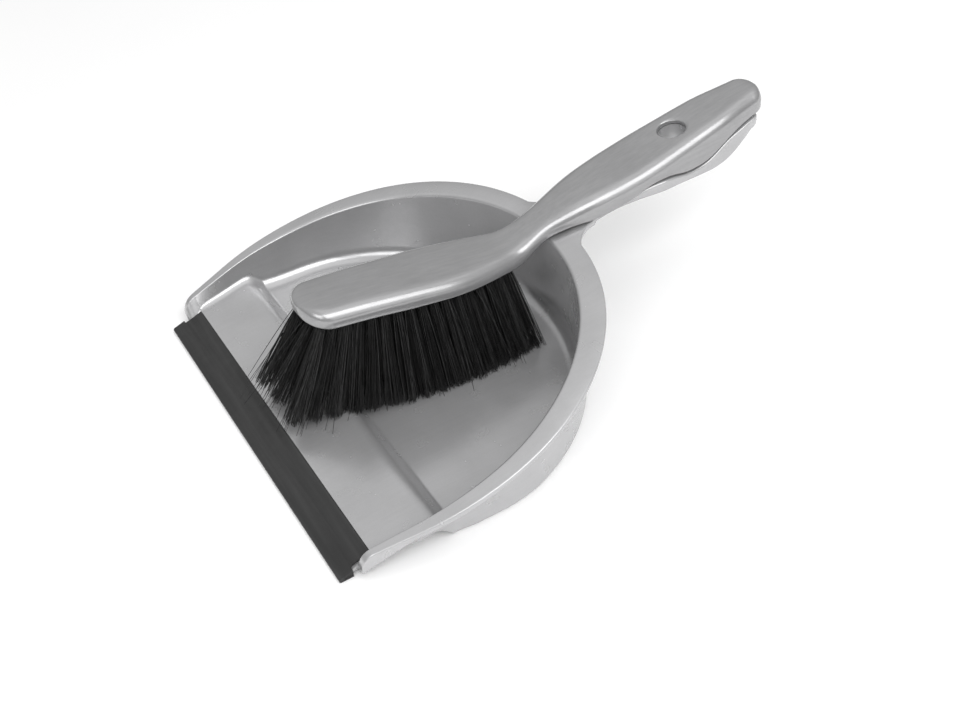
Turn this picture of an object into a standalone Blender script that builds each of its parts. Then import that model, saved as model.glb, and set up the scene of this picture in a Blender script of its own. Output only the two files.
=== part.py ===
"""Dust pan and brush set: a moulded pan with a rubber lip, and a hand brush that nests on its handle.

Metres, +Z up. The pan stands on its flat base at z = 0. X is across the pan and Y runs from the
lip to the handle. Every place is worked out with y = 0 at the lip's front edge, and the
"assembly" empty then moves the whole set so that the origin is under the middle of its box.
"""
import math

import bmesh
import bpy
import numpy as np
from mathutils import Vector

# ---------------------------------------------------------------- driving dimensions (metres)
OVERALL_LENGTH = 0.3240
FIT_GAP = 0.0004            # between parts that touch
TOOL_MARGIN = 0.0050        # how far a cutting tool reaches past what it cuts

# rubber lip and the blade of the pan that it grips
LIP_WIDTH = 0.2250
LIP_INNER_WIDTH = 0.2196
LIP_DEPTH = 0.0175
LIP_UNDER_DEPTH = 0.0120
LIP_EDGE_HEIGHT = 0.0019
LIP_BACK_HEIGHT = 0.0080
LIP_UNDER_FLAP = 0.0010
LIP_END_STEP = 0.0072       # behind this the lip's ends are cut in, between the pan's cheeks
LIP_FLAT = 0.0080           # how far the lip's underside lies flat on the ground
BLADE_FRONT = 0.0030
BLADE_FRONT_HEIGHT = 0.0019
BLADE_BACK_HEIGHT = 0.0069
BLADE_THICKNESS = 0.0022
BLADE_HALF_WIDTH = 0.1112
BLADE_END_PITCH = 0.00002   # between the points that gather at the blade's ends

# rim of the pan, in plan and in side view
RIM_HALF_WIDTH = 0.1286
RIM_WIDEST_Y = 0.0700
RIM_BACK_Y = 0.1930
RIM_SQUARENESS = 2.12
SIDE_RADIUS = 0.1280
SIDE_TAPER = math.radians(14)
RIM_FRONT_HEIGHT = 0.0109
RIM_SLOPE = 0.2355
RIM_NOSE_Y = 0.0100
RIM_NOSE_RADIUS = 0.0068
FLANGE_THICKNESS = 0.0020
FLANGE_CROWN = 0.0008
FLANGE_WIDTH = 0.0080       # the mean of the flange's width round the rim
FLANGE_LONG_GAIN = 0.0076   # added straight back, taken off straight forward
FLANGE_BACK_LOSS = 0.0034   # taken off along the handle's line, added at the sides
FLANGE_LEAST = 0.0012
RIM_EDGE = 0.0006           # rounding of the rim's outer and inner edges
FLANGE_LEDGE = 0.0009       # drop from the flange to the top of the inner wall

# tub and front panel
WALL = 0.0025
FLOOR_TOP = 0.0030
FLOOR_FILLET = 0.0080
BLADE_FILLET = 0.0008
FAN_CENTRE_Y = 0.0660
FLANGE_CENTRE_Y = 0.1100
PANEL_FRONT_Y = 0.0180
PANEL_FRONT_HEIGHT = 0.0079
RIDGE_Y = 0.0500
RIDGE_HEIGHT = 0.0108
RIDGE_ROUNDING = 0.0015
RISER_FOOT_Y = 0.0592
RISER_OFFSET = 0.0018       # keeps the riser's thickness on its steep face

# places of the rows across the pan
NOSE_PLACES = [0.0103, 0.0110, 0.0120, 0.0134, 0.0152, 0.0176]
PANEL_PLACES = [0.0180, 0.0260, 0.0340, 0.0430]
RISER_PITCH = 0.0015
RISER_COUNT = 9
BACK_STEPS = 18

# y, distance from the rim's edge to the foot of the inner wall
FOOT_STATIONS = [
    (0.010, 0.0085),
    (0.030, 0.0092),
    (0.050, 0.0096),
    (0.066, 0.0128),
    (0.095, 0.0118),
    (0.193, 0.0118),
]
FOOT_ROUNDING = 0.0030      # under the tub's outer edge

# cheeks: the side plates that hang from the rim beside the front panel
CHEEK_THICKNESS = 0.0018
CHEEK_FRONT_Y = 0.0103
CHEEK_PLACES = [0.0103, 0.0110, 0.0120, 0.0134, 0.0152, 0.0200, 0.0270, 0.0350, 0.0400]
CHEEK_SETBACK = 0.0004      # of the plate's face behind the rim's edge
CHEEK_SUNK = 0.0012         # of the plate's head below the rim's top
CHEEK_FRONT_HEIGHT = 0.0045
CHEEK_SLOPE = 0.4900

# brush tufts
TUFT_ROW_COUNT = 17
TUFT_FIRST_Y = 0.0490
TUFT_LAST_Y = 0.1540
TUFT_EDGE_MARGIN = 0.0078
TUFT_ROOT_RADIUS = 0.0020
TUFT_TIP_RADIUS = 0.0031
TUFT_DEPTH = 0.0060
TUFT_FREE_LENGTH = 0.0510
TUFT_TIP_CLEARANCE = 0.0010
HOLE_CLEARANCE = 0.0003
TUFT_SIDES = 8
TUFT_SPLAY_FRONT = math.radians(9)
TUFT_SPLAY_BACK = math.radians(21)
TUFT_LEAN_FRONT = math.radians(27)
TUFT_LEAN_BACK = math.radians(12)
TUFT_UPRIGHT_FROM = 0.55    # share of the row's length over which the forward lean dies out
TUFT_LEAN_GROWTH = 1.5      # how the lean grows towards the ends of the row
TUFT_TRIM_STEP = 0.0005

# hanging hole through both handles
HANG_HOLE_Y = 0.2680
HANG_HOLE_RADIUS = 0.0078
HANG_COLLAR_WALL = 0.0026
HANG_HOLE_SIDES = 32
HANG_HOLE_SPAN = (-0.0400, 0.0100)  # reach of the hole's tool, measured from the stock's top
HANG_COLLAR_BOTTOM = -0.0190        # measured from the stock's top
HANDLE_TILT = math.radians(9.3)

# the stock's hollow handle and the pan's tongue inside it
SHELL = 0.0026
TONGUE_GAP = 0.0006
HOLLOW_START_Y = 0.2100
HOLLOW_END_Y = 0.3100
TONGUE_MARGIN = 0.0050
CHANNEL_START_Y = 0.2250
CHANNEL_END_Y = 0.2950
BELOW_HANDLE = 0.0400

# y, half width, top height, lower edge height of the brush stock
STOCK_STATIONS = [
    (0.054, 0.0190, 0.0703, 0.0603),
    (0.073, 0.0200, 0.0679, 0.0579),
    (0.098, 0.0210, 0.0641, 0.0538),
    (0.122, 0.0213, 0.0604, 0.0507),
    (0.145, 0.0180, 0.0576, 0.0486),
    (0.162, 0.0140, 0.0570, 0.0478),
    (0.180, 0.0114, 0.0630, 0.0550),
    (0.192, 0.0138, 0.0672, 0.0574),
    (0.208, 0.0170, 0.0713, 0.0586),
    (0.225, 0.0190, 0.0745, 0.0621),
    (0.243, 0.0195, 0.0780, 0.0674),
    (0.253, 0.0192, 0.0802, 0.0676),
    (0.267, 0.0184, 0.0832, 0.0654),
    (0.281, 0.0175, 0.0863, 0.0673),
    (0.295, 0.0164, 0.0891, 0.0743),
    (0.304, 0.0157, 0.0908, 0.0771),
    (0.315, 0.0152, 0.0930, 0.0790),
]
STOCK_NOSE_Y = 0.0410
STOCK_EDGE_RADIUS = 0.0070
STOCK_CROWN = 0.0008
STOCK_END_SLOPE = 0.15
STOCK_END_EDGE = 0.25       # share of the thickness left at the very end
STOCK_UNDER_EASE = 0.0014
END_TURNS = (25, 50, 70)    # degrees round the rounded ends
TIP_TURN = 86

# y, half width, lower edge height of the pan's handle, whose top follows the stock's lower edge
HANDLE_STATIONS = [
    (0.185, 0.0180, 0.0530),
    (0.200, 0.0178, 0.0549),
    (0.210, 0.0180, 0.0557),
    (0.222, 0.0193, 0.0572),
    (0.235, 0.0205, 0.0590),
    (0.248, 0.0206, 0.0602),
    (0.262, 0.0196, 0.0602),
    (0.276, 0.0183, 0.0594),
    (0.287, 0.0172, 0.0594),
    (0.296, 0.0165, 0.0618),
    (0.305, 0.0158, 0.0675),
    (0.312, 0.0148, 0.0725),
]
GRIP_PITCH = 0.0050         # the sections of both handles lie at the same places
HANDLE_END_Y = 0.3190
HANDLE_FLARE_Y = 0.1880
HANDLE_FLARE_RADIUS = 0.0190
FLARE_SHOULDER = 0.0012     # how much more the handle's top edge is eased along the flare
FLARE_PITCH = 0.0030
FLARE_COUNT = 8
HANDLE_EASE = 0.0015
HANDLE_END_RISE = 0.0018    # of the lower edge over the rounded end
HANDLE_END_DROP = 0.0008    # of the top over the rounded end
TONGUE_ROOT = 0.0015        # how far the tongue is sunk into the handle


# colours (linear) and finishes
SILVER = (0.40, 0.40, 0.41)
SILVER_ROUGHNESS = 0.38
SILVER_METALLIC = 0.25
RUBBER_BLACK = (0.06, 0.06, 0.06)
RUBBER_ROUGHNESS = 0.6
BRISTLE_BLACK = (0.012, 0.012, 0.012)
BRISTLE_ROUGHNESS = 0.5


# ---------------------------------------------------------------- small helpers
def clear_scene():
    for obj in list(bpy.data.objects):
        bpy.data.objects.remove(obj)


def make_material(name, colour, roughness, metallic=0.0):
    material = bpy.data.materials.new(name)
    material.use_nodes = True
    shader = material.node_tree.nodes["Principled BSDF"]
    shader.inputs["Base Color"].default_value = (*colour, 1.0)
    shader.inputs["Roughness"].default_value = roughness
    shader.inputs["Metallic"].default_value = metallic
    return material


def add_object(name, mesh, parent, material=None):
    obj = bpy.data.objects.new(name, mesh)
    bpy.context.scene.collection.objects.link(obj)
    obj.parent = parent
    if material:
        mesh.materials.append(material)
    return obj


def smooth(mesh, angle):
    mesh.shade_smooth()
    mesh.set_sharp_from_angle(angle=math.radians(angle))


def mesh_from(name, build):
    """Makes a mesh with build(bm), with its faces pointing out."""
    bm = bmesh.new()
    build(bm)
    bmesh.ops.remove_doubles(bm, verts=bm.verts, dist=1e-6)
    bmesh.ops.recalc_face_normals(bm, faces=bm.faces)
    mesh = bpy.data.meshes.new(name)
    bm.to_mesh(mesh)
    bm.free()
    return mesh


def boolean(target, tool, operation):
    """Adds a Boolean to target; the tool is a guide and isn't a part."""
    tool.hide_render = True
    tool.display_type = "WIRE"
    modifier = target.modifiers.new(tool.name, "BOOLEAN")
    modifier.operation = operation
    modifier.solver = "EXACT"
    modifier.object = tool


def smooth_step(value, start, end):
    t = min(max((value - start) / (end - start), 0.0), 1.0)
    return t * t * (3.0 - 2.0 * t)


def curve_through(stations, column, y):
    """A smooth curve through one column of the stations, read at y."""
    ys = [station[0] for station in stations]
    values = [station[column] for station in stations]
    slopes = np.gradient(values, ys)
    i = int(np.clip(np.searchsorted(ys, y) - 1, 0, len(ys) - 2))
    span = ys[i + 1] - ys[i]
    t = min(max((y - ys[i]) / span, 0.0), 1.0)
    return float(
        (2 * t**3 - 3 * t**2 + 1) * values[i]
        + (t**3 - 2 * t**2 + t) * span * slopes[i]
        + (3 * t**2 - 2 * t**3) * values[i + 1]
        + (t**3 - t**2) * span * slopes[i + 1]
    )


def grip_places(start, end):
    """The places of a handle's sections from start to end."""
    first, last = round(start / GRIP_PITCH), round(end / GRIP_PITCH)
    return [GRIP_PITCH * i for i in range(first, last + 1)]


def loft(bm, rings):
    """Skins closed rings of equal count and caps both ends."""
    rows = [[bm.verts.new(point) for point in ring] for ring in rings]
    count = len(rows[0])
    for row, following in zip(rows, rows[1:]):
        for i in range(count):
            j = (i + 1) % count
            bm.faces.new((row[i], row[j], following[j], following[i]))
    bm.faces.new(rows[0])
    bm.faces.new(list(reversed(rows[-1])))


# ---------------------------------------------------------------- the pan
def rim_height(y):
    """Height of the rim's outer edge, with its front end rounded down."""
    height = RIM_FRONT_HEIGHT + RIM_SLOPE * y
    reach = RIM_NOSE_Y + RIM_NOSE_RADIUS - y
    if reach > 0:
        drop = min(reach / RIM_NOSE_RADIUS, 1.0)
        height -= RIM_NOSE_RADIUS * (1.0 - math.sqrt(1.0 - drop * drop))
    return height


def rim_half_width(y):
    """Half width of the rim in front of its widest place."""
    turn = RIM_WIDEST_Y - y
    taper_start = SIDE_RADIUS * math.sin(SIDE_TAPER)
    if turn <= taper_start:
        return RIM_HALF_WIDTH - SIDE_RADIUS + math.sqrt(SIDE_RADIUS**2 - turn**2)
    arc_loss = SIDE_RADIUS * (1.0 - math.cos(SIDE_TAPER))
    return RIM_HALF_WIDTH - arc_loss - (turn - taper_start) * math.tan(SIDE_TAPER)


def rim_back_point(angle):
    """Point of the rim behind its widest place: a slightly squared ellipse."""
    power = 2.0 / RIM_SQUARENESS
    x = RIM_HALF_WIDTH * math.cos(angle) ** power
    y = RIM_WIDEST_Y + (RIM_BACK_Y - RIM_WIDEST_Y) * math.sin(angle) ** power
    return x, y


def flange_width(x, y):
    """The flange is widest round the back and narrows to nothing at the front."""
    bearing = math.atan2(abs(x), y - FLANGE_CENTRE_Y)
    width = FLANGE_WIDTH + FLANGE_LONG_GAIN * math.cos(bearing) - FLANGE_BACK_LOSS * math.cos(2 * bearing)
    return max(width, FLANGE_LEAST)


def blade_top(y):
    slope = (BLADE_BACK_HEIGHT - BLADE_FRONT_HEIGHT) / (LIP_DEPTH - BLADE_FRONT)
    return BLADE_FRONT_HEIGHT + slope * (y - BLADE_FRONT)


def blade_under(y):
    lowest = LIP_UNDER_FLAP + FIT_GAP
    return max(lowest, blade_top(y) - BLADE_THICKNESS)


def on_blade(y):
    return y < LIP_DEPTH + 0.5 * FIT_GAP


def floor_top(y):
    """Height of the blade, the front panel, the riser and the tub's floor."""
    if on_blade(y):
        return blade_top(y)
    slope = (RIDGE_HEIGHT - PANEL_FRONT_HEIGHT) / (RIDGE_Y - PANEL_FRONT_Y)
    panel = PANEL_FRONT_HEIGHT + slope * (min(y, RIDGE_Y) - PANEL_FRONT_Y)
    fall = smooth_step(y, RIDGE_Y - RIDGE_ROUNDING, RISER_FOOT_Y)
    return panel + (FLOOR_TOP - panel) * fall


def floor_under(y):
    if on_blade(y):
        return blade_under(y)
    thickness = WALL + (FLOOR_TOP - WALL) * smooth_step(y, RIDGE_Y, RISER_FOOT_Y)
    return floor_top(y + RISER_OFFSET) - thickness


def blade_profile(y):
    """Top and under outlines where the pan is only the blade inside the lip."""
    top = [(BLADE_END_PITCH * i, blade_top(y)) for i in range(8)]
    under = [(BLADE_END_PITCH * i, blade_under(y)) for i in range(1, 6)]
    return top, under


def wall_profile(x, y, inward_y):
    """Top and under outlines of the wall at a rim point, as (inset, height) pairs."""
    rim = rim_height(y)
    width = flange_width(x, y)
    inner_top = rim_height(y + inward_y * width) + FLANGE_CROWN * smooth_step(width, 0.0, 0.008)
    floor = floor_top(y)
    depth = inner_top - floor
    if on_blade(y):
        inset, fillet = x - BLADE_HALF_WIDTH, BLADE_FILLET
    else:
        inset = max(curve_through(FOOT_STATIONS, 1, y), width + 0.5 * RIM_EDGE)
        fillet = min(FLOOR_FILLET, 0.55 * depth)
    lean = (inset - width) * fillet / depth
    top = [(0.0, rim - 0.5 * FLANGE_THICKNESS), (RIM_EDGE, rim), (width - RIM_EDGE, inner_top)]
    top.append((width + 0.5 * RIM_EDGE, inner_top - FLANGE_LEDGE))
    for turn in (0, 30, 60, 90):
        across = 1.0 - math.cos(math.radians(turn))
        down = 1.0 - math.sin(math.radians(turn))
        top.append((inset - lean + (fillet + lean) * across, floor + fillet * down))
    outer_top = max(width - WALL, RIM_EDGE + 0.5 * FLANGE_CROWN)
    base = floor_under(y)
    foot = min(inset, curve_through(FOOT_STATIONS, 1, y)) - WALL
    under = [(RIM_EDGE, rim - FLANGE_THICKNESS)]
    under.append((outer_top, inner_top - 0.5 * RIM_EDGE - FLANGE_THICKNESS))
    for turn in (0, 45, 90):
        across = FOOT_ROUNDING * (1.0 - math.cos(math.radians(turn)))
        up = FOOT_ROUNDING * (1.0 - math.sin(math.radians(turn)))
        under.append((foot + across, base + up))
    return top, under


def pan_stations():
    """(x, y, spine y) of each row across the pan, from the blade's front to the middle of the back."""
    stations = [(BLADE_HALF_WIDTH, y, y) for y in (BLADE_FRONT, CHEEK_FRONT_Y - FIT_GAP)]
    riser = [RIDGE_Y - RIDGE_ROUNDING + RISER_PITCH * i for i in range(RISER_COUNT)]
    for y in NOSE_PLACES + PANEL_PLACES + riser:
        stations.append((rim_half_width(y), y, y))
    for step in range(BACK_STEPS + 1):
        angle = 0.5 * math.pi * step / BACK_STEPS
        stations.append((*rim_back_point(angle), FAN_CENTRE_Y))
    return stations


def pan_row(x, y, spine_y):
    """One row of points for x >= 0, from the spine over the top and back below to the spine."""
    inward = Vector((-x, spine_y - y)).normalized()
    top, under = blade_profile(y) if y < CHEEK_FRONT_Y else wall_profile(x, y, inward.y)
    halfway = 0.5 * math.hypot(x, spine_y - y)
    outline = [(halfway, floor_top(spine_y))] + top[::-1] + under + [(halfway, floor_under(spine_y))]
    row = [(x + inward.x * inset, y + inward.y * inset, height) for inset, height in outline]
    return [(0.0, spine_y, floor_top(spine_y))] + row + [(0.0, spine_y, floor_under(spine_y))]


def pan_shell(bm):
    points = [pan_row(*station) for station in pan_stations()]
    for side in (1, -1):
        rows = [[bm.verts.new((side * x, y, z)) for x, y, z in row] for row in points]
        for row, following in zip(rows, rows[1:]):
            for i in range(len(row) - 1):
                bm.faces.new((row[i], row[i + 1], following[i + 1], following[i]))
        bm.faces.new(rows[0])


def cheek(side):
    """Builds the plate that hangs from the rim on one side of the front panel."""
    def build(bm):
        rings = []
        for y in CHEEK_PLACES:
            outer = rim_half_width(y) - CHEEK_SETBACK
            inner = outer - CHEEK_THICKNESS
            head = rim_height(y) - CHEEK_SUNK
            hem = min(CHEEK_FRONT_HEIGHT + CHEEK_SLOPE * (y - CHEEK_FRONT_Y), head - CHEEK_SETBACK)
            corners = ((outer, hem), (outer, head), (inner, head), (inner, hem))
            rings.append([(side * x, y, z) for x, z in corners])
        loft(bm, rings)
    return build


def handle_half_width(y):
    """Half width of the pan's handle, flared where it joins the rim."""
    width = curve_through(HANDLE_STATIONS, 1, y)
    reach = HANDLE_FLARE_Y + HANDLE_FLARE_RADIUS - y
    if reach > 0:
        turn = min(reach / HANDLE_FLARE_RADIUS, 1.0)
        width += HANDLE_FLARE_RADIUS * (1.0 - math.sqrt(1.0 - turn * turn))
    return width


def handle_top(y):
    """The pan's handle comes up to the stock's lower edge all the way along."""
    return curve_through(STOCK_STATIONS, 3, y) - FIT_GAP


def handle_ring(y, half_width, top, bottom, shoulder=HANDLE_EASE):
    """One cross-section of the pan's handle or of what goes into it: a box with eased edges."""
    ease = min(shoulder, 0.4 * (top - bottom), 0.4 * half_width)
    half = [
        (half_width - min(ease, HANDLE_EASE), bottom),
        (half_width, bottom + min(ease, HANDLE_EASE)),
        (half_width, top - ease),
        (half_width - ease, top),
    ]
    mirrored = [(-x, z) for x, z in reversed(half)]
    return [(x, y, z) for x, z in half + mirrored]


def handle_outer(bm):
    """The visible lower part of the pan's handle, out to its upturned end."""
    start, end = HANDLE_STATIONS[0][0], HANDLE_STATIONS[-1][0]
    rings = []
    flare = [start + FLARE_PITCH * i for i in range(FLARE_COUNT)]
    for y in flare + grip_places(flare[-1] + FLARE_PITCH, end - FLARE_PITCH) + [end]:
        bottom = curve_through(HANDLE_STATIONS, 2, y)
        fade = 1.0 - smooth_step(y, HANDLE_FLARE_Y, HANDLE_FLARE_Y + HANDLE_FLARE_RADIUS)
        shoulder = HANDLE_EASE + FLARE_SHOULDER * fade
        rings.append(handle_ring(y, handle_half_width(y), handle_top(y), bottom, shoulder))
    for turn in (40, 70, 88):
        reach, roundness = math.sin(math.radians(turn)), math.cos(math.radians(turn))
        half_width = HANDLE_STATIONS[-1][1] * roundness**0.5
        bottom = HANDLE_STATIONS[-1][2] + HANDLE_END_RISE * reach
        y = end + (HANDLE_END_Y - end) * reach
        rings.append(handle_ring(y, half_width, handle_top(end) - HANDLE_END_DROP, bottom))
    loft(bm, rings)


def tongue_half_width(y):
    return curve_through(STOCK_STATIONS, 1, y) - SHELL - TONGUE_GAP


def tongue(bm):
    """The raised middle of the pan's handle that fills the brush handle's hollow."""
    rings = []
    for y in grip_places(HOLLOW_START_Y + TONGUE_MARGIN, HOLLOW_END_Y - TONGUE_MARGIN):
        top, root = hollow_top(y) - TONGUE_GAP, handle_top(y) - TONGUE_ROOT
        rings.append(handle_ring(y, tongue_half_width(y), top, root))
    loft(bm, rings)


def handle_channel(bm):
    """Cuts the pan's handle hollow from below."""
    rings = []
    for y in grip_places(CHANNEL_START_Y, CHANNEL_END_Y):
        half_width = tongue_half_width(y) - SHELL - TONGUE_GAP
        rings.append(handle_ring(y, half_width, hollow_top(y) - TONGUE_GAP - SHELL, BELOW_HANDLE))
    loft(bm, rings)


def hang_hole(radius, low, high):
    """An upright round tool at the hanging hole, square to the sloping handle."""
    def build(bm):
        bmesh.ops.create_cone(
            bm, cap_ends=True, segments=HANG_HOLE_SIDES, radius1=radius, radius2=radius, depth=high - low
        )
        bmesh.ops.translate(bm, verts=bm.verts, vec=(0.0, 0.0, 0.5 * (low + high)))
    return build


def add_hang_tool(name, radius, low, high, parent):
    tool = add_object(name, mesh_from(name, hang_hole(radius, low, high)), parent)
    tool.location = (0.0, HANG_HOLE_Y, curve_through(STOCK_STATIONS, 2, HANG_HOLE_Y))
    tool.rotation_euler.x = HANDLE_TILT
    return tool


def add_pan(parent, material):
    pan = add_object("dustpan_body", mesh_from("dustpan_body", pan_shell), parent, material)
    additions = {
        "left_cheek_tool": cheek(-1),
        "right_cheek_tool": cheek(1),
        "handle_tool": handle_outer,
        "tongue_tool": tongue,
    }
    for name, build in additions.items():
        boolean(pan, add_object(name, mesh_from(name, build), parent), "UNION")
    channel = add_object("channel_tool", mesh_from("channel_tool", handle_channel), parent)
    boolean(pan, channel, "DIFFERENCE")
    collar_radius = HANG_HOLE_RADIUS + HANG_COLLAR_WALL
    collar_top = -SHELL - TONGUE_GAP - 0.5 * SHELL
    collar = add_hang_tool("collar_tool", collar_radius, HANG_COLLAR_BOTTOM, collar_top, parent)
    boolean(pan, collar, "UNION")
    hole = add_hang_tool("pan_hole_tool", HANG_HOLE_RADIUS, *HANG_HOLE_SPAN, parent)
    boolean(pan, hole, "DIFFERENCE")
    smooth(pan.data, 35)
    return pan


# ---------------------------------------------------------------- the rubber lip
def lip_channel(bm):
    """The lip's folded section across its width, with its ends stepped in beside the cheeks."""
    slot_front = BLADE_FRONT - FIT_GAP
    slot_back_under = blade_under(LIP_UNDER_DEPTH) - FIT_GAP
    lip_slope = (LIP_BACK_HEIGHT - LIP_EDGE_HEIGHT) / LIP_DEPTH
    step_top = LIP_EDGE_HEIGHT + lip_slope * LIP_END_STEP
    outline = [
        (0.0, 0.0),
        (LIP_END_STEP, 0.0),
        (LIP_FLAT, 0.0),
        (LIP_UNDER_DEPTH, slot_back_under - LIP_UNDER_FLAP),
        (LIP_UNDER_DEPTH, slot_back_under),
        (LIP_FLAT, LIP_UNDER_FLAP),
        (LIP_END_STEP, LIP_UNDER_FLAP),
        (slot_front, LIP_UNDER_FLAP),
        (slot_front, blade_top(slot_front) + FIT_GAP),
        (LIP_END_STEP, blade_top(LIP_END_STEP) + FIT_GAP),
        (LIP_DEPTH, blade_top(LIP_DEPTH) + FIT_GAP),
        (LIP_DEPTH, LIP_BACK_HEIGHT),
        (LIP_END_STEP, step_top),
        (0.0, LIP_EDGE_HEIGHT),
    ]
    half = 0.5 * LIP_WIDTH
    loft(bm, [[(x, y, z) for y, z in outline] for x in (-half, half)])


def lip_end_tool(side):
    """Cuts the lip's end back where it lies between the cheeks."""
    def build(bm):
        inner, outer = 0.5 * LIP_INNER_WIDTH, 0.5 * LIP_WIDTH + TOOL_MARGIN
        front, back = LIP_END_STEP, LIP_DEPTH + TOOL_MARGIN
        corners = ((inner, front), (outer, front), (outer, back), (inner, back))
        levels = (-TOOL_MARGIN, LIP_BACK_HEIGHT + TOOL_MARGIN)
        loft(bm, [[(side * x, y, z) for x, y in corners] for z in levels])
    return build


def add_lip(parent, material):
    lip = add_object("rubber_lip", mesh_from("rubber_lip", lip_channel), parent, material)
    for side, name in ((-1, "left_lip_end_tool"), (1, "right_lip_end_tool")):
        boolean(lip, add_object(name, mesh_from(name, lip_end_tool(side)), parent), "DIFFERENCE")
    return lip


# ---------------------------------------------------------------- the brush
def stock_at(y):
    """Half width, top and lower edge of the brush stock at y."""
    return tuple(curve_through(STOCK_STATIONS, column, y) for column in (1, 2, 3))


def hollow_top(y):
    return curve_through(STOCK_STATIONS, 2, y) - SHELL


def stock_ring(y, half_width, top, bottom):
    """One cross-section of the stock: a flat underside and a crowned top with rounded shoulders."""
    radius = min(STOCK_EDGE_RADIUS, 0.72 * (top - bottom), 0.8 * half_width)
    ease = min(STOCK_UNDER_EASE, 0.2 * (top - bottom))
    shoulder = top - STOCK_CROWN
    half = [(half_width - ease, bottom), (half_width, bottom + ease)]
    for turn in (0, 30, 60, 90):
        across = radius * (1.0 - math.cos(math.radians(turn)))
        down = radius * (1.0 - math.sin(math.radians(turn)))
        half.append((half_width - across, shoulder - down))
    half.append((0.0, top))
    mirrored = [(-x, z) for x, z in half[-2::-1]]
    return [(x, y, z) for x, z in half + mirrored]


def stock_end_rings(base_y, length, turns):
    """Rings that round an end off, length beyond base_y; negative for the nose."""
    half_width, top, bottom = stock_at(base_y)
    middle = 0.5 * (top + bottom)
    rings = []
    for turn in turns:
        reach, roundness = math.sin(math.radians(turn)), math.cos(math.radians(turn))
        height = (top - middle) * (STOCK_END_EDGE + (1.0 - STOCK_END_EDGE) * roundness**0.6)
        rise = -STOCK_END_SLOPE * length * reach
        ring_y = base_y + length * reach
        rings.append(
            stock_ring(ring_y, half_width * roundness**0.8, middle + height + rise, middle - height + rise)
        )
    return rings


def stock_solid(bm):
    first, last = STOCK_STATIONS[0][0], STOCK_STATIONS[-1][0]
    rings = stock_end_rings(first, STOCK_NOSE_Y - first, (TIP_TURN, *reversed(END_TURNS)))
    margin = 0.6 * GRIP_PITCH
    places = [first] + grip_places(first + margin, last - margin) + [last]
    rings += [stock_ring(y, *stock_at(y)) for y in places]
    end_length = (OVERALL_LENGTH - last) / math.sin(math.radians(TIP_TURN))
    rings += stock_end_rings(last, end_length, (*END_TURNS, TIP_TURN))
    loft(bm, rings)


def stock_hollow(bm):
    """Cuts the brush's handle hollow from below, to sit over the pan's tongue."""
    rings = []
    for y in grip_places(HOLLOW_START_Y, HOLLOW_END_Y):
        half_width = curve_through(STOCK_STATIONS, 1, y) - SHELL
        rings.append(handle_ring(y, half_width, hollow_top(y), BELOW_HANDLE))
    loft(bm, rings)


def tuft_places():
    """(name, mouth point, direction) of every tuft, row by row."""
    places = []
    for row, side, offset in (("right", 1, 0.0), ("middle", 0, 0.5), ("left", -1, 0.0)):
        pitch = (TUFT_LAST_Y - TUFT_FIRST_Y) / (TUFT_ROW_COUNT - 1)
        for i in range(TUFT_ROW_COUNT - int(offset > 0)):
            y = TUFT_FIRST_Y + pitch * (i + offset)
            half_width, _, bottom = stock_at(y)
            along = (y - TUFT_FIRST_Y) / (TUFT_LAST_Y - TUFT_FIRST_Y)
            splay = math.tan(TUFT_SPLAY_FRONT + (TUFT_SPLAY_BACK - TUFT_SPLAY_FRONT) * along)
            forward = max(1.0 - along / TUFT_UPRIGHT_FROM, 0.0) ** TUFT_LEAN_GROWTH
            backward = max(2.0 * along - 1.0, 0.0) ** TUFT_LEAN_GROWTH
            lean = math.tan(TUFT_LEAN_BACK) * backward - math.tan(TUFT_LEAN_FRONT) * forward
            mouth = Vector((side * (half_width - TUFT_EDGE_MARGIN), y, bottom))
            direction = Vector((side * splay, lean, -1.0)).normalized()
            places.append((f"tuft_{row}_{i + 1:02d}", mouth, direction))
    return places


def tuft_length(mouth, direction):
    """Free length of a tuft, trimmed where it would reach the pan below."""
    length = TUFT_FREE_LENGTH
    spread = TUFT_TIP_RADIUS * math.sqrt(1.0 - direction.z**2)
    while True:
        tip = mouth + direction * length
        ground = max(floor_top(tip.y - TUFT_TIP_RADIUS), floor_top(tip.y + TUFT_TIP_RADIUS))
        if tip.z - spread > ground + TUFT_TIP_CLEARANCE:
            return length
        length -= TUFT_TRIM_STEP


def tuft_solid(length):
    """A tapered bundle along -Z, with its root above z = 0."""
    def build(bm):
        rings = []
        turns = [2.0 * math.pi * i / TUFT_SIDES for i in range(TUFT_SIDES)]
        levels = ((TUFT_DEPTH, TUFT_ROOT_RADIUS), (0.0, TUFT_ROOT_RADIUS), (-length, TUFT_TIP_RADIUS))
        for z, radius in levels:
            rings.append([(radius * math.cos(a), radius * math.sin(a), z) for a in turns])
        loft(bm, rings)
    return build


def tuft_hole(bm, mouth, direction):
    """Adds one blind hole's tool to bm."""
    depth = TUFT_DEPTH + 2 * HOLE_CLEARANCE
    turn = direction.to_track_quat("-Z", "Y").to_matrix()
    rings = []
    for z in (depth, -TOOL_MARGIN):
        ring = []
        for i in range(TUFT_SIDES):
            a = 2.0 * math.pi * i / TUFT_SIDES
            radius = TUFT_ROOT_RADIUS + HOLE_CLEARANCE
            ring.append(mouth + turn @ Vector((radius * math.cos(a), radius * math.sin(a), z)))
        rings.append(ring)
    loft(bm, rings)


def tuft_hole_tools(bm):
    for _, mouth, direction in tuft_places():
        tuft_hole(bm, mouth, direction)


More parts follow.
